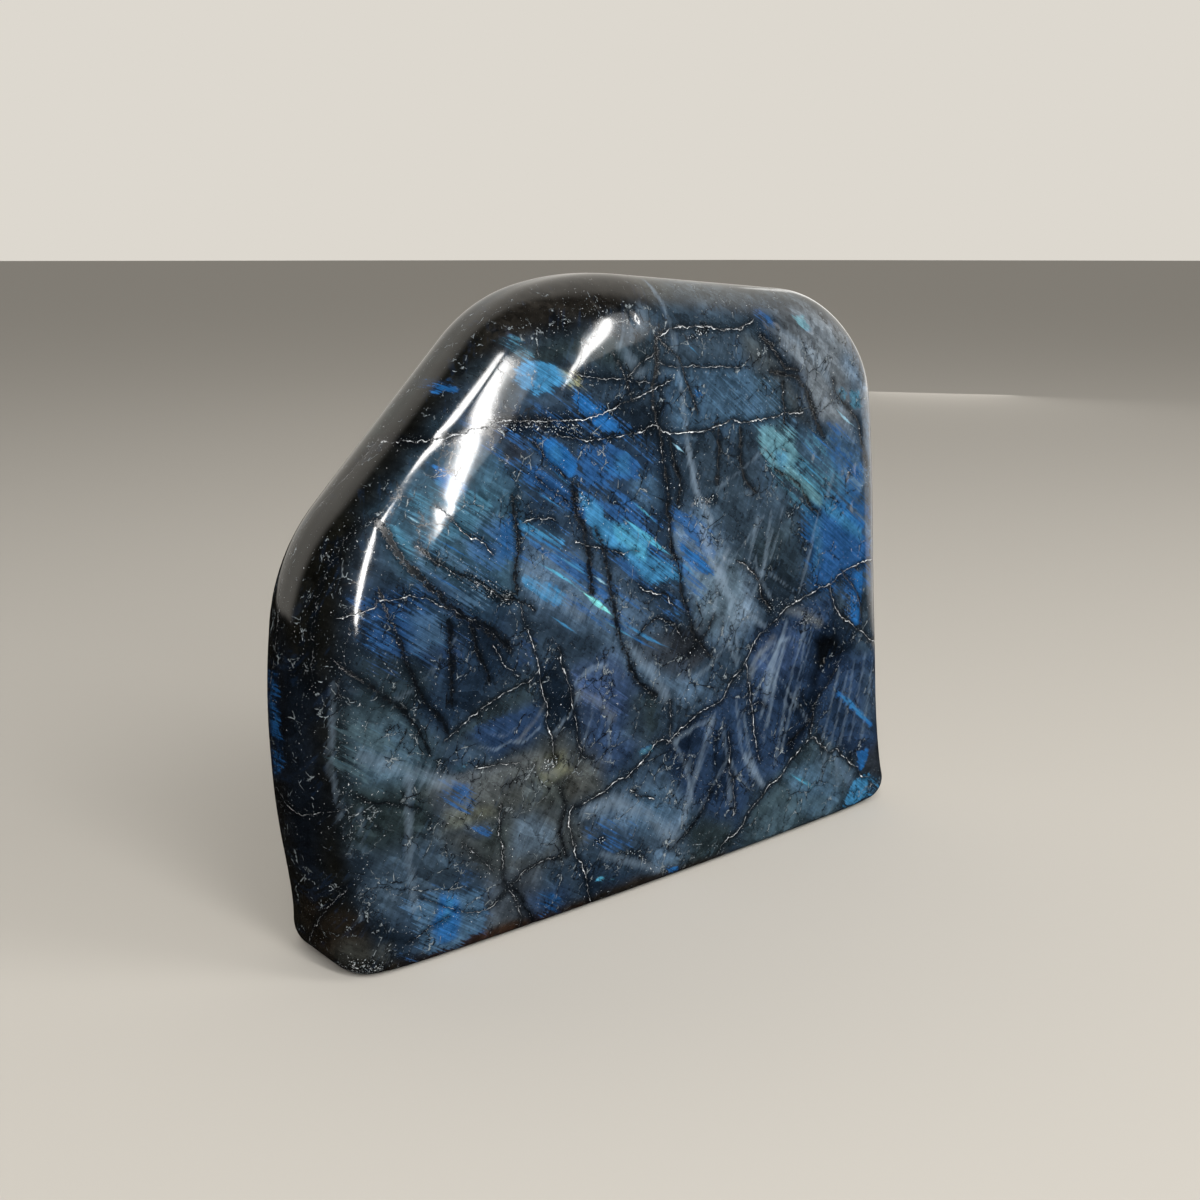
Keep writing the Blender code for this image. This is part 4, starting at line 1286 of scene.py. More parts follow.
@dataclass(frozen=True)
class Relief:
    """What hand polishing leaves: a slow swell of the faces, open grooves and pits."""

    swell_depth: float = 0.00006  # metres, like the other sizes here
    swell_size: float = 0.026
    groove_depth: float = 0.00004
    pit_depth: float = 0.00045
    seed: float = 3.0  # fixes where the swell lies

    def tree(self) -> Tree:
        """Builds the node tree that moves the surface.

        Returns:
            A tree with named inputs for its sizes.
        """
        tree = bpy.data.node_groups.new("polish_relief", "GeometryNodeTree")
        tree.interface.new_socket("Geometry", in_out="INPUT", socket_type="NodeSocketGeometry")
        for name in ("Swell Depth", "Swell Size", "Groove Depth", "Pit Depth", "Seed"):
            tree.interface.new_socket(name, in_out="INPUT", socket_type="NodeSocketFloat")
        tree.interface.new_socket("Material", in_out="INPUT", socket_type="NodeSocketMaterial")
        tree.interface.new_socket("Geometry", in_out="OUTPUT", socket_type="NodeSocketGeometry")
        given = tree.nodes.new("NodeGroupInput").outputs
        scale = add(tree, "ShaderNodeMath", {0: 1.0, 1: given["Swell Size"]}, operation="DIVIDE")
        noise = {"W": given["Seed"], "Scale": scale, "Detail": 1.0}
        noise = add(tree, "ShaderNodeTexNoise", noise, noise_dimensions="4D")
        centred = add(tree, "ShaderNodeMath", {0: noise, 1: -0.5}, operation="ADD")
        height = add(tree, "ShaderNodeMath", {0: centred, 1: given["Swell Depth"]}, operation="MULTIPLY")
        for mark, depth in (("groove", "Groove Depth"), ("pit", "Pit Depth")):
            share = add(tree, "GeometryNodeInputNamedAttribute", {"Name": mark}, data_type="FLOAT")
            cut = add(tree, "ShaderNodeMath", {0: share, 1: given[depth]}, operation="MULTIPLY")
            height = add(tree, "ShaderNodeMath", {0: height, 1: cut}, operation="SUBTRACT")
        normal = add(tree, "GeometryNodeInputNormal")
        offset = add(tree, "ShaderNodeVectorMath", {0: normal, "Scale": height}, operation="SCALE")
        moved = add(tree, "GeometryNodeSetPosition", {"Geometry": given["Geometry"], "Offset": offset})
        whole = add(tree, "GeometryNodeRealizeInstances", {"Geometry": moved})
        dressed = add(tree, "GeometryNodeSetMaterial", {"Geometry": whole, "Material": given["Material"]})
        add(tree, "NodeGroupOutput", {"Geometry": dressed})
        return tree

    def apply(self, stone: bpy.types.Object, material: bpy.types.Material) -> None:
        """Moves the stone's surface and leaves it a plain mesh.

        Args:
            stone: the painted stone.
            material: its finish.
        """
        modifier = stone.modifiers.new("polish", "NODES")
        modifier.node_group = self.tree()
        values = {
            "Swell Depth": self.swell_depth,
            "Swell Size": self.swell_size,
            "Groove Depth": self.groove_depth,
            "Pit Depth": self.pit_depth,
            "Seed": self.seed,
            "Material": material,
        }
        for item in modifier.node_group.interface.items_tree:
            if item.in_out == "INPUT" and item.name in values:
                modifier[item.identifier] = values[item.name]
        graph = bpy.context.evaluated_depsgraph_get()
        finished = bpy.data.meshes.new_from_object(stone.evaluated_get(graph), depsgraph=graph)
        stone.modifiers.remove(modifier)
        stone.data = finished


@dataclass(frozen=True)
class LabradoriteFinish:
    """Labradorite polished by hand: a hard glassy gloss over dark, streaked feldspar that flashes blue."""

    roughness: float = 0.085
    crack_roughness: float = 0.2
    crack_bump: float = 0.35  # how strongly the cracks' edges catch the light
    crack_depth: float = 0.00008  # metres
    ior: float = 1.56
    specular: float = 0.5
    tilt: float = -36.0  # degrees: the lamellae run down to the right at this slope
    cross_tilt: float = 64.0  # degrees: feathers and fine joints run up to the right at this slope
    fibre: Size = (12.0, 8.0, 0.42)  # mm along, into and across the fine lamellae
    hair: Size = (9.0, 6.0, 0.16)  # the finest of them
    band: Size = (24.0, 12.0, 2.4)  # broad bands of them
    feather: Size = (11.0, 8.0, 0.75)
    block: Size = (11.0, 9.0, 6.0)  # the stone's cleavage blocks
    chip: Size = (4.6, 4.0, 2.3)  # smaller blocks inside them
    cloud: float = 7.0
    mottle: float = 2.2
    dash: float = 1.7  # mm, the length of the breaks in a pale line
    kink: float = 2.8  # mm, the size of the kinks in a seam
    kink_depth: float = 0.5  # mm, how far they stray
    notch: float = 0.7  # the finer kinks
    notch_depth: float = 0.13
    web: float = 8.5  # mm between hairline cracks
    fine_web: Size = (5.2, 4.0, 3.1)
    grain: float = 0.42  # mm, drawn a little coarser than the real 0.2 mm so that it shows
    glint_tones: tuple[tuple[float, Tone], ...] = (
        (0.0, Tone.ROYAL), (0.3, Tone.COBALT), (0.5, Tone.AZURE), (0.75, Tone.CYAN), (1.0, Tone.TURQUOISE),
    )  # the colour of a thin flash by its tint

    def build(self, seam_layers: int, glint_layers: int) -> bpy.types.Material:
        """Builds the finish.

        Args:
            seam_layers: how many layers of seams the stone carries.
            glint_layers: how many layers of thin flashes it carries.

        Returns:
            The material.
        """
        material = bpy.data.materials.new("polished_labradorite")
        material.use_nodes = True
        t = material.node_tree
        shader = t.nodes["Principled BSDF"]
        weave = self.weave(t)
        colour = self.ground(t, weave)
        colour = self.flashes(t, colour, weave)
        colour = self.veils(t, colour, weave)
        colour = self.glints(t, colour, weave, glint_layers)
        colour, dirt = self.hairlines(t, colour, weave)
        colour = self.specks(t, colour, weave)
        colour, open_crack = self.seams(t, colour, weave, seam_layers)
        t.links.new(colour, shader.inputs["Base Color"])

        rough = add(t, "ShaderNodeMath", {0: open_crack, 1: dirt}, operation="MAXIMUM")
        rough = add(t, "ShaderNodeMapRange", {0: rough, 3: self.roughness, 4: self.crack_roughness})
        t.links.new(rough, shader.inputs["Roughness"])
        cut = add(t, "ShaderNodeMath", {0: 1.0, 1: open_crack}, operation="SUBTRACT")
        bump = {"Height": cut, "Strength": self.crack_bump, "Distance": self.crack_depth}
        bump = add(t, "ShaderNodeBump", bump)
        t.links.new(bump, shader.inputs["Normal"])
        shader.inputs["Metallic"].default_value = 0.0
        shader.inputs["IOR"].default_value = self.ior
        shader.inputs["Specular IOR Level"].default_value = self.specular
        return material

    def weave(self, t: Tree) -> dict[str, Socket]:
        """Sets up the stone's grain at all its sizes, which the other steps share.

        Args:
            t: the material's tree.

        Returns:
            Places in mm and noises from 0 to 1, by name.
        """
        here = add(t, "ShaderNodeTexCoord", out="Object")
        mm = add(t, "ShaderNodeVectorMath", {0: here, "Scale": 1.0 / MM}, operation="SCALE")
        made = {"mm": mm}
        for name, slope in (("along", self.tilt), ("steep", self.cross_tilt)):
            turn = {"Vector": mm, "Rotation": (0.0, math.radians(slope), 0.0)}
            made[name] = add(t, "ShaderNodeMapping", turn)
        for name, lie, size, detail in (
            ("fibre", "along", self.fibre, 3.0),
            ("hair", "along", self.hair, 2.0),
            ("band", "along", self.band, 2.0),
            ("feather", "steep", self.feather, 3.0),
        ):
            place = {0: made[lie], 1: tuple(1.0 / s for s in size)}
            place = add(t, "ShaderNodeVectorMath", place, operation="MULTIPLY")
            noise = {"Vector": place, "Scale": 1.0, "Detail": detail, "Roughness": 0.6}
            made[name] = add(t, "ShaderNodeTexNoise", noise)
        for name, size, detail, rough in (
            ("cloud", self.cloud, 5.0, 0.6),
            ("mottle", self.mottle, 6.0, 0.7),
            ("kinks", self.kink, 2.0, 0.5),
            ("notches", self.notch, 1.0, 0.5),
            ("dashes", self.dash, 2.0, 0.6),
            ("grain", self.grain, 2.0, 0.6),
        ):
            noise = {"Vector": mm, "Scale": 1.0 / size, "Detail": detail, "Roughness": rough}
            made[name] = add(t, "ShaderNodeTexNoise", noise)
        return made

    def ground(self, t: Tree, weave: dict[str, Socket]) -> Socket:
        """Breaks the listed ground up into slanting blocks, streaks and mottling.

        Args:
            t: the material's tree.
            weave: the stone's grain.

        Returns:
            The ground's colour.
        """
        colour = add(t, "ShaderNodeAttribute", attribute_name="ground")
        bend = add(t, "ShaderNodeVectorMath", {0: weave["cloud"], "Scale": 0.9}, operation="SCALE")
        for size, least, most in ((self.block, 0.7, 1.28), (self.chip, 0.74, 1.28)):
            place = {0: weave["along"], 1: tuple(1.0 / s for s in size), 2: bend}
            cells = add(t, "ShaderNodeVectorMath", place, operation="MULTIPLY_ADD")
            tone = {"Vector": cells, "Scale": 1.0}
            tone = add(t, "ShaderNodeTexVoronoi", tone, out="Color", distance="CHEBYCHEV")
            tone = add(t, "ShaderNodeSeparateColor", {0: tone})
            shade = add(t, "ShaderNodeMapRange", {0: tone, 3: least, 4: most})
            colour = add(t, "ShaderNodeVectorMath", {0: colour, "Scale": shade}, operation="SCALE")
        crumbly = add(t, "ShaderNodeAttribute", out="Fac", attribute_name="crumb")
        uneven = add(t, "ShaderNodeMapRange", {0: weave["cloud"], 1: 0.35, 2: 0.65, 3: 0.5, 4: 1.9})
        crumbly = add(t, "ShaderNodeMath", {0: crumbly, 1: uneven}, operation="MULTIPLY", use_clamp=True)
        shade = add(t, "ShaderNodeMapRange", {0: crumbly, 3: 1.0, 4: 0.25})
        colour = add(t, "ShaderNodeVectorMath", {0: colour, "Scale": shade}, operation="SCALE")
        for name, least, most in (
            ("fibre", 0.84, 1.16), ("feather", 0.84, 1.18), ("cloud", 0.58, 1.4), ("mottle", 0.58, 1.42),
        ):
            shade = add(t, "ShaderNodeMapRange", {0: weave[name], 1: 0.3, 2: 0.7, 3: least, 4: most})
            colour = add(t, "ShaderNodeVectorMath", {0: colour, "Scale": shade}, operation="SCALE")
        return colour

    def flashes(self, t: Tree, colour: Socket, weave: dict[str, Socket]) -> Socket:
        """Lays the blue film of painted sheen over the ground, frayed into lamellae along its edges.

        Args:
            t: the material's tree.
            colour: the ground.
            weave: the stone's grain.

        Returns:
            The colour with the film.
        """
        film = add(t, "ShaderNodeAttribute", attribute_name="flash")
        strength = add(t, "ShaderNodeAttribute", out="Alpha", attribute_name="flash")
        streaks = add(t, "ShaderNodeMath", {0: weave["fibre"], 1: weave["band"]}, operation="ADD")
        streaks = add(t, "ShaderNodeMapRange", {0: streaks, 1: 0.8, 2: 1.2, 3: -0.62, 4: 0.55})
        clumps = add(t, "ShaderNodeMapRange", {0: weave["mottle"], 1: 0.35, 2: 0.65, 3: -0.75, 4: -0.15})
        edge = add(t, "ShaderNodeMath", {0: streaks, 1: clumps}, operation="ADD")
        crisp = add(t, "ShaderNodeMath", {0: strength, 1: 1.5, 2: edge}, operation="MULTIPLY_ADD")
        crisp = add(t, "ShaderNodeMapRange", {0: crisp, 1: 0.0, 2: 0.3, 3: 0.0, 4: 0.72})
        within = add(t, "ShaderNodeMath", {0: strength, 1: 7.0}, operation="MULTIPLY", use_clamp=True)
        crisp = add(t, "ShaderNodeMath", {0: crisp, 1: within}, operation="MULTIPLY")
        whole = {0: strength, 1: 0.26, 2: crisp}
        strength = add(t, "ShaderNodeMath", whole, operation="MULTIPLY_ADD", use_clamp=True)
        for name, least, most in (
            ("fibre", 0.6, 1.34), ("hair", 0.8, 1.2), ("mottle", 0.55, 1.36), ("cloud", 0.66, 1.2),
        ):
            shade = add(t, "ShaderNodeMapRange", {0: weave[name], 1: 0.3, 2: 0.7, 3: least, 4: most})
            film = add(t, "ShaderNodeVectorMath", {0: film, "Scale": shade}, operation="SCALE")
        colour = add(t, "ShaderNodeMix", {0: strength, 6: colour, 7: film}, out=2, data_type="RGBA")
        thread = add(t, "ShaderNodeMapRange", {0: weave["hair"], 1: 0.64, 2: 0.75, 3: 0.0, 4: 0.8})
        lit = add(t, "ShaderNodeMapRange", {0: weave["band"], 1: 0.42, 2: 0.6})
        thread = add(t, "ShaderNodeMath", {0: thread, 1: lit}, operation="MULTIPLY")
        thread = add(t, "ShaderNodeMath", {0: thread, 1: strength}, operation="MULTIPLY")
        return add(t, "ShaderNodeMix", {0: thread, 6: colour, 7: Tone.AZURE.rgba}, out=2, data_type="RGBA")

    def veils(self, t: Tree, colour: Socket, weave: dict[str, Socket]) -> Socket:
        """Draws the milky veils, drawn out into feathers.

        Args:
            t: the material's tree.
            colour: what lies under them.
            weave: the stone's grain.

        Returns:
            The colour with them.
        """
        veil = add(t, "ShaderNodeAttribute", attribute_name="veil")
        haze = add(t, "ShaderNodeAttribute", out="Alpha", attribute_name="veil")
        wisps = add(t, "ShaderNodeMath", {0: weave["feather"], 1: weave["cloud"]}, operation="ADD")
        wisps = add(t, "ShaderNodeMapRange", {0: wisps, 1: 0.78, 2: 1.18, 3: -0.2, 4: 0.06})
        haze = {0: haze, 1: 1.25, 2: wisps}
        haze = add(t, "ShaderNodeMath", haze, operation="MULTIPLY_ADD", use_clamp=True)
        return add(t, "ShaderNodeMix", {0: haze, 6: colour, 7: veil}, out=2, data_type="RGBA")

    def glints(self, t: Tree, colour: Socket, weave: dict[str, Socket], layers: int) -> Socket:
        """Draws the thin bright lamellae, painted glints of their blue sheen.

        Args:
            t: the material's tree.
            colour: what lies under them.
            weave: the stone's grain.
            layers: how many layers of them there are.

        Returns:
            The colour with them.
        """
        stray = add(t, "ShaderNodeMapRange", {0: weave["notches"], 3: -0.16, 4: 0.16})
        broken = add(t, "ShaderNodeMapRange", {0: weave["hair"], 1: 0.3, 2: 0.6, 3: 0.3, 4: 1.0})
        for layer in range(layers):
            values = add(t, "ShaderNodeAttribute", attribute_name=f"glint_{layer}")
            tint = add(t, "ShaderNodeAttribute", out="Alpha", attribute_name=f"glint_{layer}")
            offset, half_width, _ = add(t, "ShaderNodeSeparateColor", {0: values}).node.outputs
            away = add(t, "ShaderNodeMath", {0: offset, 1: stray}, operation="ADD")
            away = add(t, "ShaderNodeMath", {0: away}, operation="ABSOLUTE")
            inner = add(t, "ShaderNodeMath", {0: half_width, 1: away}, operation="SUBTRACT")
            cover = add(t, "ShaderNodeMath", {0: inner, 1: 3.5}, operation="MULTIPLY", use_clamp=True)
            cover = add(t, "ShaderNodeMath", {0: cover, 1: broken}, operation="MULTIPLY")
            ramp = t.nodes.new("ShaderNodeValToRGB")
            for stop, tone in self.glint_tones:
                item = ramp.color_ramp.elements[0] if stop == 0.0 else ramp.color_ramp.elements.new(stop)
                item.color = tone.rgba
            t.links.new(tint, ramp.inputs[0])
            lit = {0: cover, 6: colour, 7: ramp.outputs[0]}
            colour = add(t, "ShaderNodeMix", lit, out=2, data_type="RGBA")
        return colour

    def hairlines(self, t: Tree, colour: Socket, weave: dict[str, Socket]) -> tuple[Socket, Socket]:
        """Draws two nets of hairline cracks, here dark and there pale, that come and go.

        Args:
            t: the material's tree.
            colour: what lies under them.
            weave: the stone's grain.

        Returns:
            The colour with them, and where they are.
        """
        bend = add(t, "ShaderNodeVectorMath", {0: weave["cloud"], "Scale": 1.3}, operation="SCALE")
        kinked = add(t, "ShaderNodeVectorMath", {0: weave["kinks"], "Scale": 0.09}, operation="SCALE")
        bend = add(t, "ShaderNodeVectorMath", {0: bend, 1: kinked}, operation="ADD")
        dirt = 0.0
        for place, size, width, low in (
            (weave["mm"], (self.web,) * 3, 0.016, 0.45),
            (weave["steep"], self.fine_web, 0.035, 0.52),
        ):
            net = {0: place, 1: tuple(1.0 / s for s in size), 2: bend}
            net = add(t, "ShaderNodeVectorMath", net, operation="MULTIPLY_ADD")
            edge = add(t, "ShaderNodeTexVoronoi", {"Vector": net, "Scale": 1.0}, feature="DISTANCE_TO_EDGE")
            shown = add(t, "ShaderNodeMapRange", {0: weave["cloud"], 1: low, 2: low + 0.08})
            soft = add(t, "ShaderNodeMapRange", {0: edge, 1: 0.0, 2: 5.0 * width, 3: 0.4, 4: 0.0})
            line = add(t, "ShaderNodeMapRange", {0: edge, 1: 0.4 * width, 2: width, 3: 0.85, 4: 0.0})
            line = add(t, "ShaderNodeMath", {0: line, 1: soft}, operation="MAXIMUM")
            line = add(t, "ShaderNodeMath", {0: line, 1: shown}, operation="MULTIPLY")
            colour = add(t, "ShaderNodeMix", {0: line, 6: colour, 7: Tone.INK.rgba}, out=2, data_type="RGBA")
            dirt = add(t, "ShaderNodeMath", {0: line, 1: dirt}, operation="MAXIMUM")
            dash = add(t, "ShaderNodeMapRange", {0: weave["dashes"], 1: 0.53, 2: 0.6, 3: 0.0, 4: 0.6})
            core = add(t, "ShaderNodeMapRange", {0: edge, 1: 0.2 * width, 2: 0.7 * width, 3: 1.0, 4: 0.0})
            dash = add(t, "ShaderNodeMath", {0: dash, 1: core}, operation="MULTIPLY")
            dash = add(t, "ShaderNodeMath", {0: dash, 1: shown}, operation="MULTIPLY")
            pale = {0: dash, 6: colour, 7: Tone.CHALK.rgba}
            colour = add(t, "ShaderNodeMix", pale, out=2, data_type="RGBA")
        return colour, dirt

    def specks(self, t: Tree, colour: Socket, weave: dict[str, Socket]) -> Socket:
        """Scatters ragged specks, black and pale, thickest in the crumbly places.

        Args:
            t: the material's tree.
            colour: what lies under them.
            weave: the stone's grain.

        Returns:
            The colour with them.
        """
        crumbly = add(t, "ShaderNodeAttribute", out="Fac", attribute_name="crumb")
        for tone, size, offset, bare, full in (
            (Tone.INK, 1.6, 31.0, 0.7, 0.57),
            (Tone.CHALK, 0.8, 57.0, 0.745, 0.61),
            (Tone.CREAM, 1.0, 83.0, 0.74, 0.61),
        ):
            place = add(t, "ShaderNodeVectorMath", {0: weave["mm"], 1: (offset,) * 3}, operation="ADD")
            noise = {"Vector": place, "Scale": 1.0 / (self.grain * size), "Detail": 2.0, "Roughness": 0.55}
            speck = add(t, "ShaderNodeTexNoise", noise)
            bar = add(t, "ShaderNodeMapRange", {0: crumbly, 3: bare, 4: full})
            cover = add(t, "ShaderNodeMath", {0: speck, 1: bar}, operation="SUBTRACT")
            cover = add(t, "ShaderNodeMath", {0: cover, 1: 26.0}, operation="MULTIPLY", use_clamp=True)
            cover = add(t, "ShaderNodeMath", {0: cover, 1: 0.8}, operation="MULTIPLY")
            colour = add(t, "ShaderNodeMix", {0: cover, 6: colour, 7: tone.rgba}, out=2, data_type="RGBA")
        return colour

    def seams(self, t: Tree, colour: Socket, weave: dict[str, Socket], layers: int) -> tuple[Socket, Socket]:
        """Draws the seams: a ragged dark line with a painted shadow, and a thin broken pale line along it.

        Args:
            t: the material's tree.
            colour: what lies under them.
            weave: the stone's grain.
            layers: how many layers of them there are.

        Returns:
            The colour with them, and where they are.
        """
        stray = 0.0
        for name, depth in (("kinks", self.kink_depth), ("notches", self.notch_depth)):
            bent = add(t, "ShaderNodeMapRange", {0: weave[name], 1: 0.2, 2: 0.8, 3: -depth, 4: depth})
            stray = add(t, "ShaderNodeMath", {0: bent, 1: stray}, operation="ADD")
        swell = add(t, "ShaderNodeMapRange", {0: weave["mottle"], 1: 0.36, 2: 0.66, 3: -0.2, 4: 2.3})
        thick = add(t, "ShaderNodeMapRange", {0: weave["dashes"], 1: 0.35, 2: 0.68, 3: 0.0, 4: 0.14})
        ragged = add(t, "ShaderNodeMapRange", {0: weave["grain"], 1: 0.3, 2: 0.7, 3: -0.7, 4: 0.7})
        dark, pale, seam_shadow = 0.0, 0.0, 0.0
        for layer in range(layers):
            values = add(t, "ShaderNodeAttribute", attribute_name=f"seam_{layer}")
            fill = add(t, "ShaderNodeAttribute", out="Alpha", attribute_name=f"seam_{layer}")
            offset, half_width, _ = add(t, "ShaderNodeSeparateColor", {0: values}).node.outputs
            off = add(t, "ShaderNodeMath", {0: offset, 1: stray}, operation="ADD")
            away = add(t, "ShaderNodeMath", {0: off}, operation="ABSOLUTE")
            there = add(t, "ShaderNodeMath", {0: half_width, 1: 9.0}, operation="MULTIPLY", use_clamp=True)
            half = add(t, "ShaderNodeMath", {0: half_width, 1: swell}, operation="MULTIPLY")
            open_share = add(t, "ShaderNodeMapRange", {0: fill, 1: 0.0, 2: 0.8, 3: 1.1, 4: 0.62})
            half = add(t, "ShaderNodeMath", {0: half, 1: open_share}, operation="MULTIPLY")
            inner = add(t, "ShaderNodeMath", {0: half, 1: away}, operation="SUBTRACT")
            rag = add(t, "ShaderNodeMath", {0: ragged, 1: half_width}, operation="MULTIPLY")
            inner = add(t, "ShaderNodeMath", {0: inner, 1: rag}, operation="ADD")
            core = add(t, "ShaderNodeMath", {0: inner, 1: 5.0}, operation="MULTIPLY", use_clamp=True)
            dark = add(t, "ShaderNodeMath", {0: core, 1: dark}, operation="MAXIMUM")
            # Painted shadow: ink that spreads up to about 1.3 mm past the seam's edge.
            near = add(t, "ShaderNodeMapRange", {0: inner, 1: -1.3, 2: 0.1, 3: 0.0, 4: 0.75})
            near = add(t, "ShaderNodeMath", {0: near, 1: there}, operation="MULTIPLY")
            seam_shadow = add(t, "ShaderNodeMath", {0: near, 1: seam_shadow}, operation="MAXIMUM")
            shift = add(t, "ShaderNodeMath", {0: half_width, 1: 0.5, 2: off}, operation="MULTIPLY_ADD")
            away = add(t, "ShaderNodeMath", {0: shift}, operation="ABSOLUTE")
            span = add(t, "ShaderNodeMapRange", {0: half_width, 1: 0.0, 2: 0.19, 3: 0.0, 4: 1.15})
            span = add(t, "ShaderNodeMath", {0: thick, 1: span}, operation="MULTIPLY")
            inner = add(t, "ShaderNodeMath", {0: span, 1: away}, operation="SUBTRACT")
            line = add(t, "ShaderNodeMath", {0: inner, 1: 9.0}, operation="MULTIPLY", use_clamp=True)
            filled = add(t, "ShaderNodeMath", {0: fill, 1: 0.52, 2: weave["grain"]}, operation="MULTIPLY_ADD")
            filled = add(t, "ShaderNodeMapRange", {0: filled, 1: 0.68, 2: 0.82})
            line = add(t, "ShaderNodeMath", {0: line, 1: filled}, operation="MULTIPLY")
            line = add(t, "ShaderNodeMath", {0: line, 1: there}, operation="MULTIPLY")
            pale = add(t, "ShaderNodeMath", {0: line, 1: pale}, operation="MAXIMUM")
        core = add(t, "ShaderNodeMath", {0: dark, 1: 0.8}, operation="MULTIPLY")
        for cover in (seam_shadow, core):
            inked = {0: cover, 6: colour, 7: Tone.INK.rgba}
            colour = add(t, "ShaderNodeMix", inked, out=2, data_type="RGBA")
        shade = add(t, "ShaderNodeMapRange", {0: weave["notches"], 1: 0.34, 2: 0.66, 3: 0.45, 4: 1.5})
        cream = add(t, "ShaderNodeVectorMath", {0: Tone.CREAM.rgb, "Scale": shade}, operation="SCALE")
        return add(t, "ShaderNodeMix", {0: pale, 6: colour, 7: cream}, out=2, data_type="RGBA"), dark


@dataclass
class Stone:
    """The whole stone: its shape, its marks and its finish."""

    form: StoneForm
    relief: Relief
    finish: LabradoriteFinish
    name: str = "polished_stone"
    seam_crumbs: float = 0.42  # how crumbly the stone is right at a seam
    crumb_reach: float = 2.2  # mm over which that dies away
    groove: float = 0.7  # mm, about half the width of the groove along a seam
    pit_edge: float = 1.3  # where a pit begins, in its own radii
    glint_taper: float = 0.45  # the share of a thin flash over which each end narrows

    def build(self) -> bpy.types.Object:
        """Makes the stone and dresses it.

        Returns:
            The finished object.
        """
        stone = self.form.build(self.name)
        painter = Painter(stone)
        painter.store("ground", painter.ground(GROUND))
        painter.store("flash", painter.film(FLASHES))
        painter.store("veil", painter.film(VEILS))
        seams, nearest = painter.line_layers(SEAMS)
        glints, _ = painter.line_layers(GLINTS, self.glint_taper)
        for prefix, layers in (("seam", seams), ("glint", glints)):
            for number, layer in enumerate(layers):
                painter.store(f"{prefix}_{number}", layer)
        crumbly = self.seam_crumbs * np.exp(-nearest / self.crumb_reach)
        for patch in CRUMBS:
            crumbly = np.maximum(crumbly, painter.cover(patch))
        painter.store("crumb", crumbly)
        painter.store("groove", np.exp(-((nearest / self.groove) ** 2)))
        painter.store("pit", self.pits(painter))
        self.relief.apply(stone, self.finish.build(len(seams), len(glints)))
        LOG.info("%s: %d seam layers, %d glint layers", self.name, len(seams), len(glints))
        return stone

    def pits(self, painter: Painter) -> np.ndarray:
        """Sinks the pits.

        Args:
            painter: the painter of this stone.

        Returns:
            How deep each point of the front lies in a pit, from 0 to 1.
        """
        depth = np.zeros(len(painter.points))
        places, front = painter.places(Side.FRONT), painter.share(Side.FRONT)
        for x, z, radius in PITS:
            away = np.hypot(places[:, 0] - x, places[:, 1] - z)
            depth = np.maximum(depth, smooth_step(self.pit_edge - away / radius) * front)
        return depth


@dataclass(frozen=True)
class Softbox:
    """A soft oval light, aimed at the stone's middle."""

    name: str
    azimuth: float  # degrees from the front towards the right
    elevation: float
    tall: float  # degrees that it spans, seen from the stone
    wide: float
    roll: float  # degrees that its top leans to the left
    radiance: float
    distance: float = 1.2  # metres
    warmth: tuple[float, float, float] = (1.0, 0.985, 0.96)

    def place(self, target: Vector) -> None:
        """Puts the light in the scene.

        Args:
            target: the point it is aimed at.
        """
        a, e = math.radians(self.azimuth), math.radians(self.elevation)
        towards = Vector((math.sin(a) * math.cos(e), -math.cos(a) * math.cos(e), math.sin(e)))
        light = bpy.data.lights.new(self.name, "AREA")
        light.shape = "ELLIPSE"
        light.size = 2.0 * self.distance * math.tan(math.radians(0.5 * self.wide))
        light.size_y = 2.0 * self.distance * math.tan(math.radians(0.5 * self.tall))
        light.energy = self.radiance * math.pi * light.size * light.size_y
        light.color = self.warmth
        lamp = bpy.data.objects.new(self.name, light)
        lamp.location = target + towards * self.distance
        lean = Quaternion((0.0, 0.0, 1.0), math.radians(self.roll))
        lamp.rotation_euler = (towards.to_track_quat("Z", "Y") @ lean).to_euler()
        lamp.visible_camera = False
        bpy.context.scene.collection.objects.link(lamp)


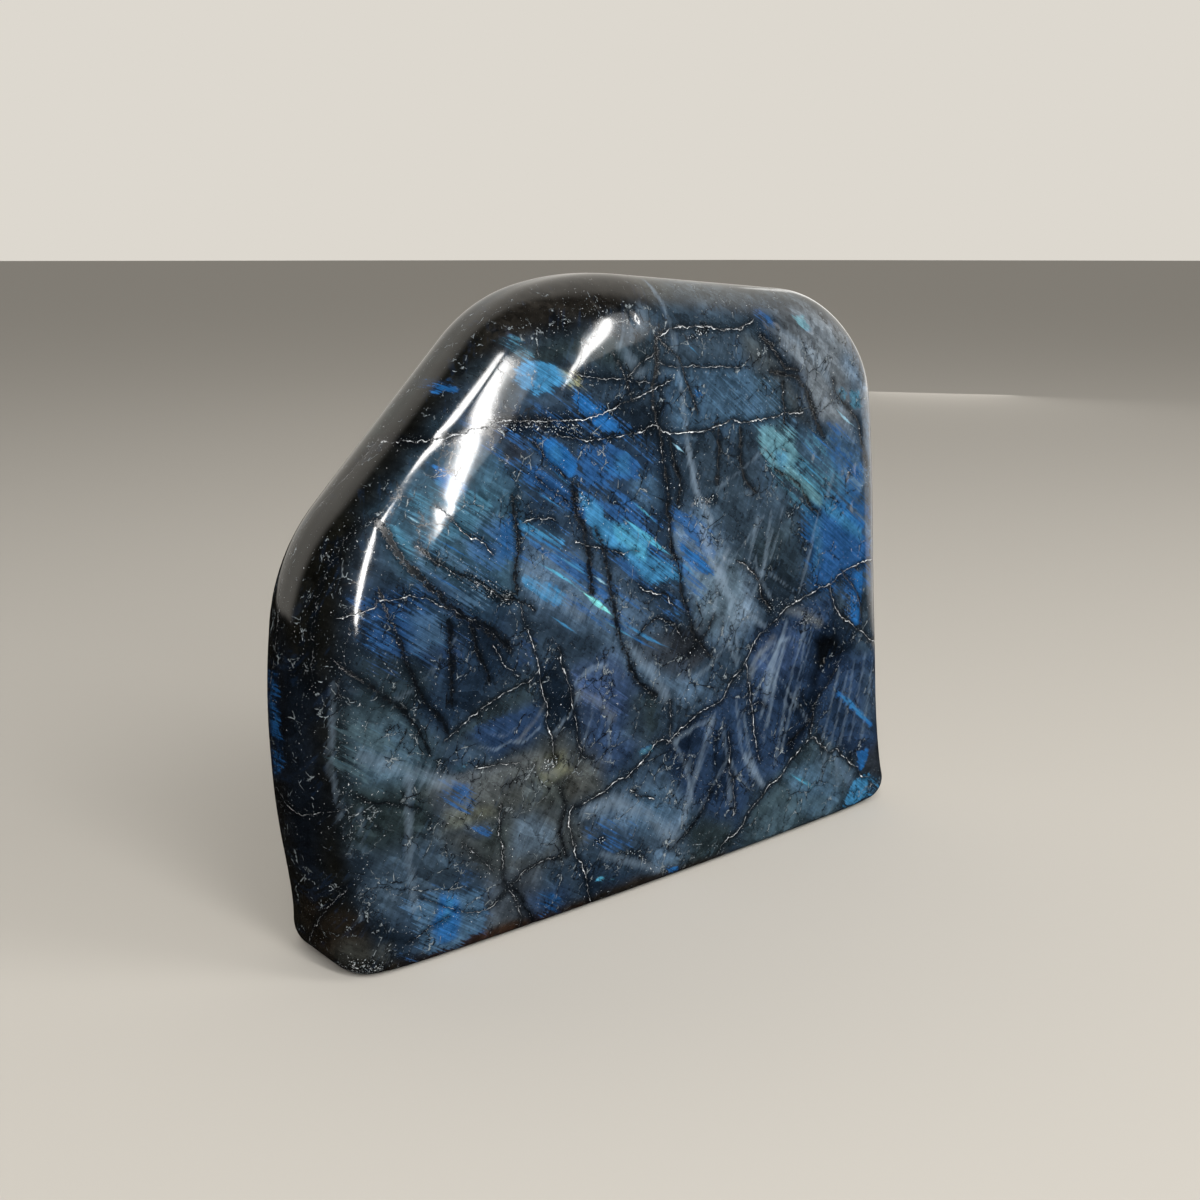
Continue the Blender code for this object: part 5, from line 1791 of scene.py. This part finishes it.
@dataclass(frozen=True)
class Studio:
    """A plain pale floor, dim surroundings with a pale side, soft lights and the photograph's camera."""

    target: tuple[float, float, float] = (0.0, 0.0, 0.065)
    camera_place: tuple[float, float, float] = (-0.1984, -0.2338, 0.1348)
    camera_turn: tuple[float, float, float] = (76.62, 0.0, -39.79)  # degrees
    lens: float = 43.2  # mm
    sensor: float = 36.0
    floor_tone: str = "#bdb9b2"
    wall_tone: str = "#ddd8cf"
    gloom_tone: str = "#16130f"
    wall_azimuth: float = 147.0  # the middle of the pale side, degrees from the front towards the right
    bay_azimuth: float = 86.0  # the middle of the bright opening beside the stone
    bay_strength: float = 1.5
    wall_span: tuple[float, float] = (0.12, 0.42)  # cosines from its middle where it begins and is whole
    bay_span: tuple[float, float] = (0.85, 0.9)
    wall_heights: tuple[float, float] = (-0.06, 2.0)  # sines of the height where its fades start
    bay_heights: tuple[float, float] = (-0.26, 0.0)
    bottom_fade: float = 0.05
    top_fade: float = 0.07
    lights: tuple[Softbox, ...] = (
        Softbox("window", -8.5, 34.5, 44.0, 3.8, 31.0, 26.0),
        Softbox("curtain", -5.0, 38.0, 34.0, 11.0, 31.0, 1.5),
        Softbox("transom", -42.0, 55.0, 4.5, 14.0, 0.0, 22.0),
        Softbox("doorway", -42.0, 23.5, 52.5, 4.0, 8.0, 30.0, 1.0),
        Softbox("lamp", 34.5, 30.5, 36.0, 4.8, -34.0, 18.0),
        Softbox("shade", 41.0, 33.0, 34.0, 15.0, -40.0, 1.2),
        Softbox("gap", 124.0, 8.0, 36.0, 9.0, 0.0, 0.72),
    )
    fill_strength: float = 0.85
    fill_spread: float = 75.0  # degrees
    fill_turn: tuple[float, float] = (48.0, -10.0)  # degrees from straight down, and round to the left
    floor_half: float = 60.0  # metres

    def build(self) -> None:
        """Sets up the floor, the surroundings, the lights and the camera."""
        scene = bpy.context.scene
        self.floor()
        scene.world = self.surroundings()
        for light in self.lights:
            light.place(Vector(self.target))
        self.fill()
        lens = bpy.data.cameras.new("view")
        lens.lens, lens.sensor_width = self.lens, self.sensor
        camera = bpy.data.objects.new("view", lens)
        camera.location = self.camera_place
        camera.rotation_euler = [math.radians(angle) for angle in self.camera_turn]
        scene.collection.objects.link(camera)
        scene.camera = camera
        scene.view_settings.view_transform = "Standard"

    def surroundings(self) -> bpy.types.World:
        """Makes dim surroundings, pale behind the stone, with a bright opening on its right.

        Returns:
            The world.
        """
        world = bpy.data.worlds.new("studio")
        world.use_nodes = True
        t = world.node_tree
        way = add(t, "ShaderNodeTexCoord", out="Generated")
        height = add(t, "ShaderNodeSeparateXYZ", {0: way}, out=2)
        shares = []
        for azimuth, (low, high), (bottom, top) in (
            (self.wall_azimuth, self.wall_span, self.wall_heights),
            (self.bay_azimuth, self.bay_span, self.bay_heights),
        ):
            a = math.radians(azimuth)
            towards = {0: way, 1: (math.sin(a), -math.cos(a), 0.0)}
            facing = add(t, "ShaderNodeVectorMath", towards, out="Value", operation="DOT_PRODUCT")
            share = 1.0
            for place, start, end, first, last in (
                (facing, low, high, 0.0, 1.0),
                (height, bottom, bottom + self.bottom_fade, 0.0, 1.0),
                (height, top, top + self.top_fade, 1.0, 0.0),
            ):
                fade = {0: place, 1: start, 2: end, 3: first, 4: last}
                fade = add(t, "ShaderNodeMapRange", fade, interpolation_type="SMOOTHSTEP")
                share = add(t, "ShaderNodeMath", {0: fade, 1: share}, operation="MULTIPLY")
            shares.append(share)
        gloom, wall = ((*linear(tone), 1.0) for tone in (self.gloom_tone, self.wall_tone))
        tone = add(t, "ShaderNodeMix", {0: shares[0], 6: gloom, 7: wall}, out=2, data_type="RGBA")
        bay = add(t, "ShaderNodeVectorMath", {0: wall[:3], "Scale": shares[1]}, operation="SCALE")
        tone = {0: bay, 1: (self.bay_strength,) * 3, 2: tone}
        tone = add(t, "ShaderNodeVectorMath", tone, operation="MULTIPLY_ADD")
        t.links.new(tone, t.nodes["Background"].inputs["Color"])
        return world

    def fill(self) -> None:
        """Adds soft light from the front that reaches the whole floor and isn't mirrored in the polish."""
        light = bpy.data.lights.new("fill", "SUN")
        light.energy, light.angle = self.fill_strength, math.radians(self.fill_spread)
        lamp = bpy.data.objects.new("fill", light)
        lamp.rotation_euler = (math.radians(self.fill_turn[0]), 0.0, math.radians(self.fill_turn[1]))
        lamp.visible_glossy = False
        bpy.context.scene.collection.objects.link(lamp)

    def floor(self) -> None:
        """Lays the floor, wide enough to reach the horizon."""
        mesh = bpy.data.meshes.new("studio_floor")
        half = self.floor_half
        corners = [(-half, -half, 0), (half, -half, 0), (half, half, 0), (-half, half, 0)]
        mesh.from_pydata(corners, [], [(0, 1, 2, 3)])
        floor = bpy.data.objects.new("studio_floor", mesh)
        floor.visible_glossy = False
        bpy.context.scene.collection.objects.link(floor)
        # Matt paper: no gloss at all, so the eye sees only the stone's own soft shadow on it.
        material = bpy.data.materials.new("matt_paper")
        material.use_nodes = True
        shader = material.node_tree.nodes["Principled BSDF"]
        shader.inputs["Base Color"].default_value = (*linear(self.floor_tone), 1.0)
        shader.inputs["Roughness"].default_value = 1.0
        shader.inputs["Specular IOR Level"].default_value = 0.0
        mesh.materials.append(material)


def main() -> None:
    """Builds the stone and the studio round it."""
    logging.basicConfig(level=logging.INFO, format="%(message)s")
    stone = Stone(StoneForm(), Relief(), LabradoriteFinish()).build()
    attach(stone, "root")
    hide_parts(CAD_NODE)
    LOG.info("%s: %d triangles", stone.name, sum(len(p.vertices) - 2 for p in stone.data.polygons))
    Studio().build()


if __name__ == "__main__":
    main()
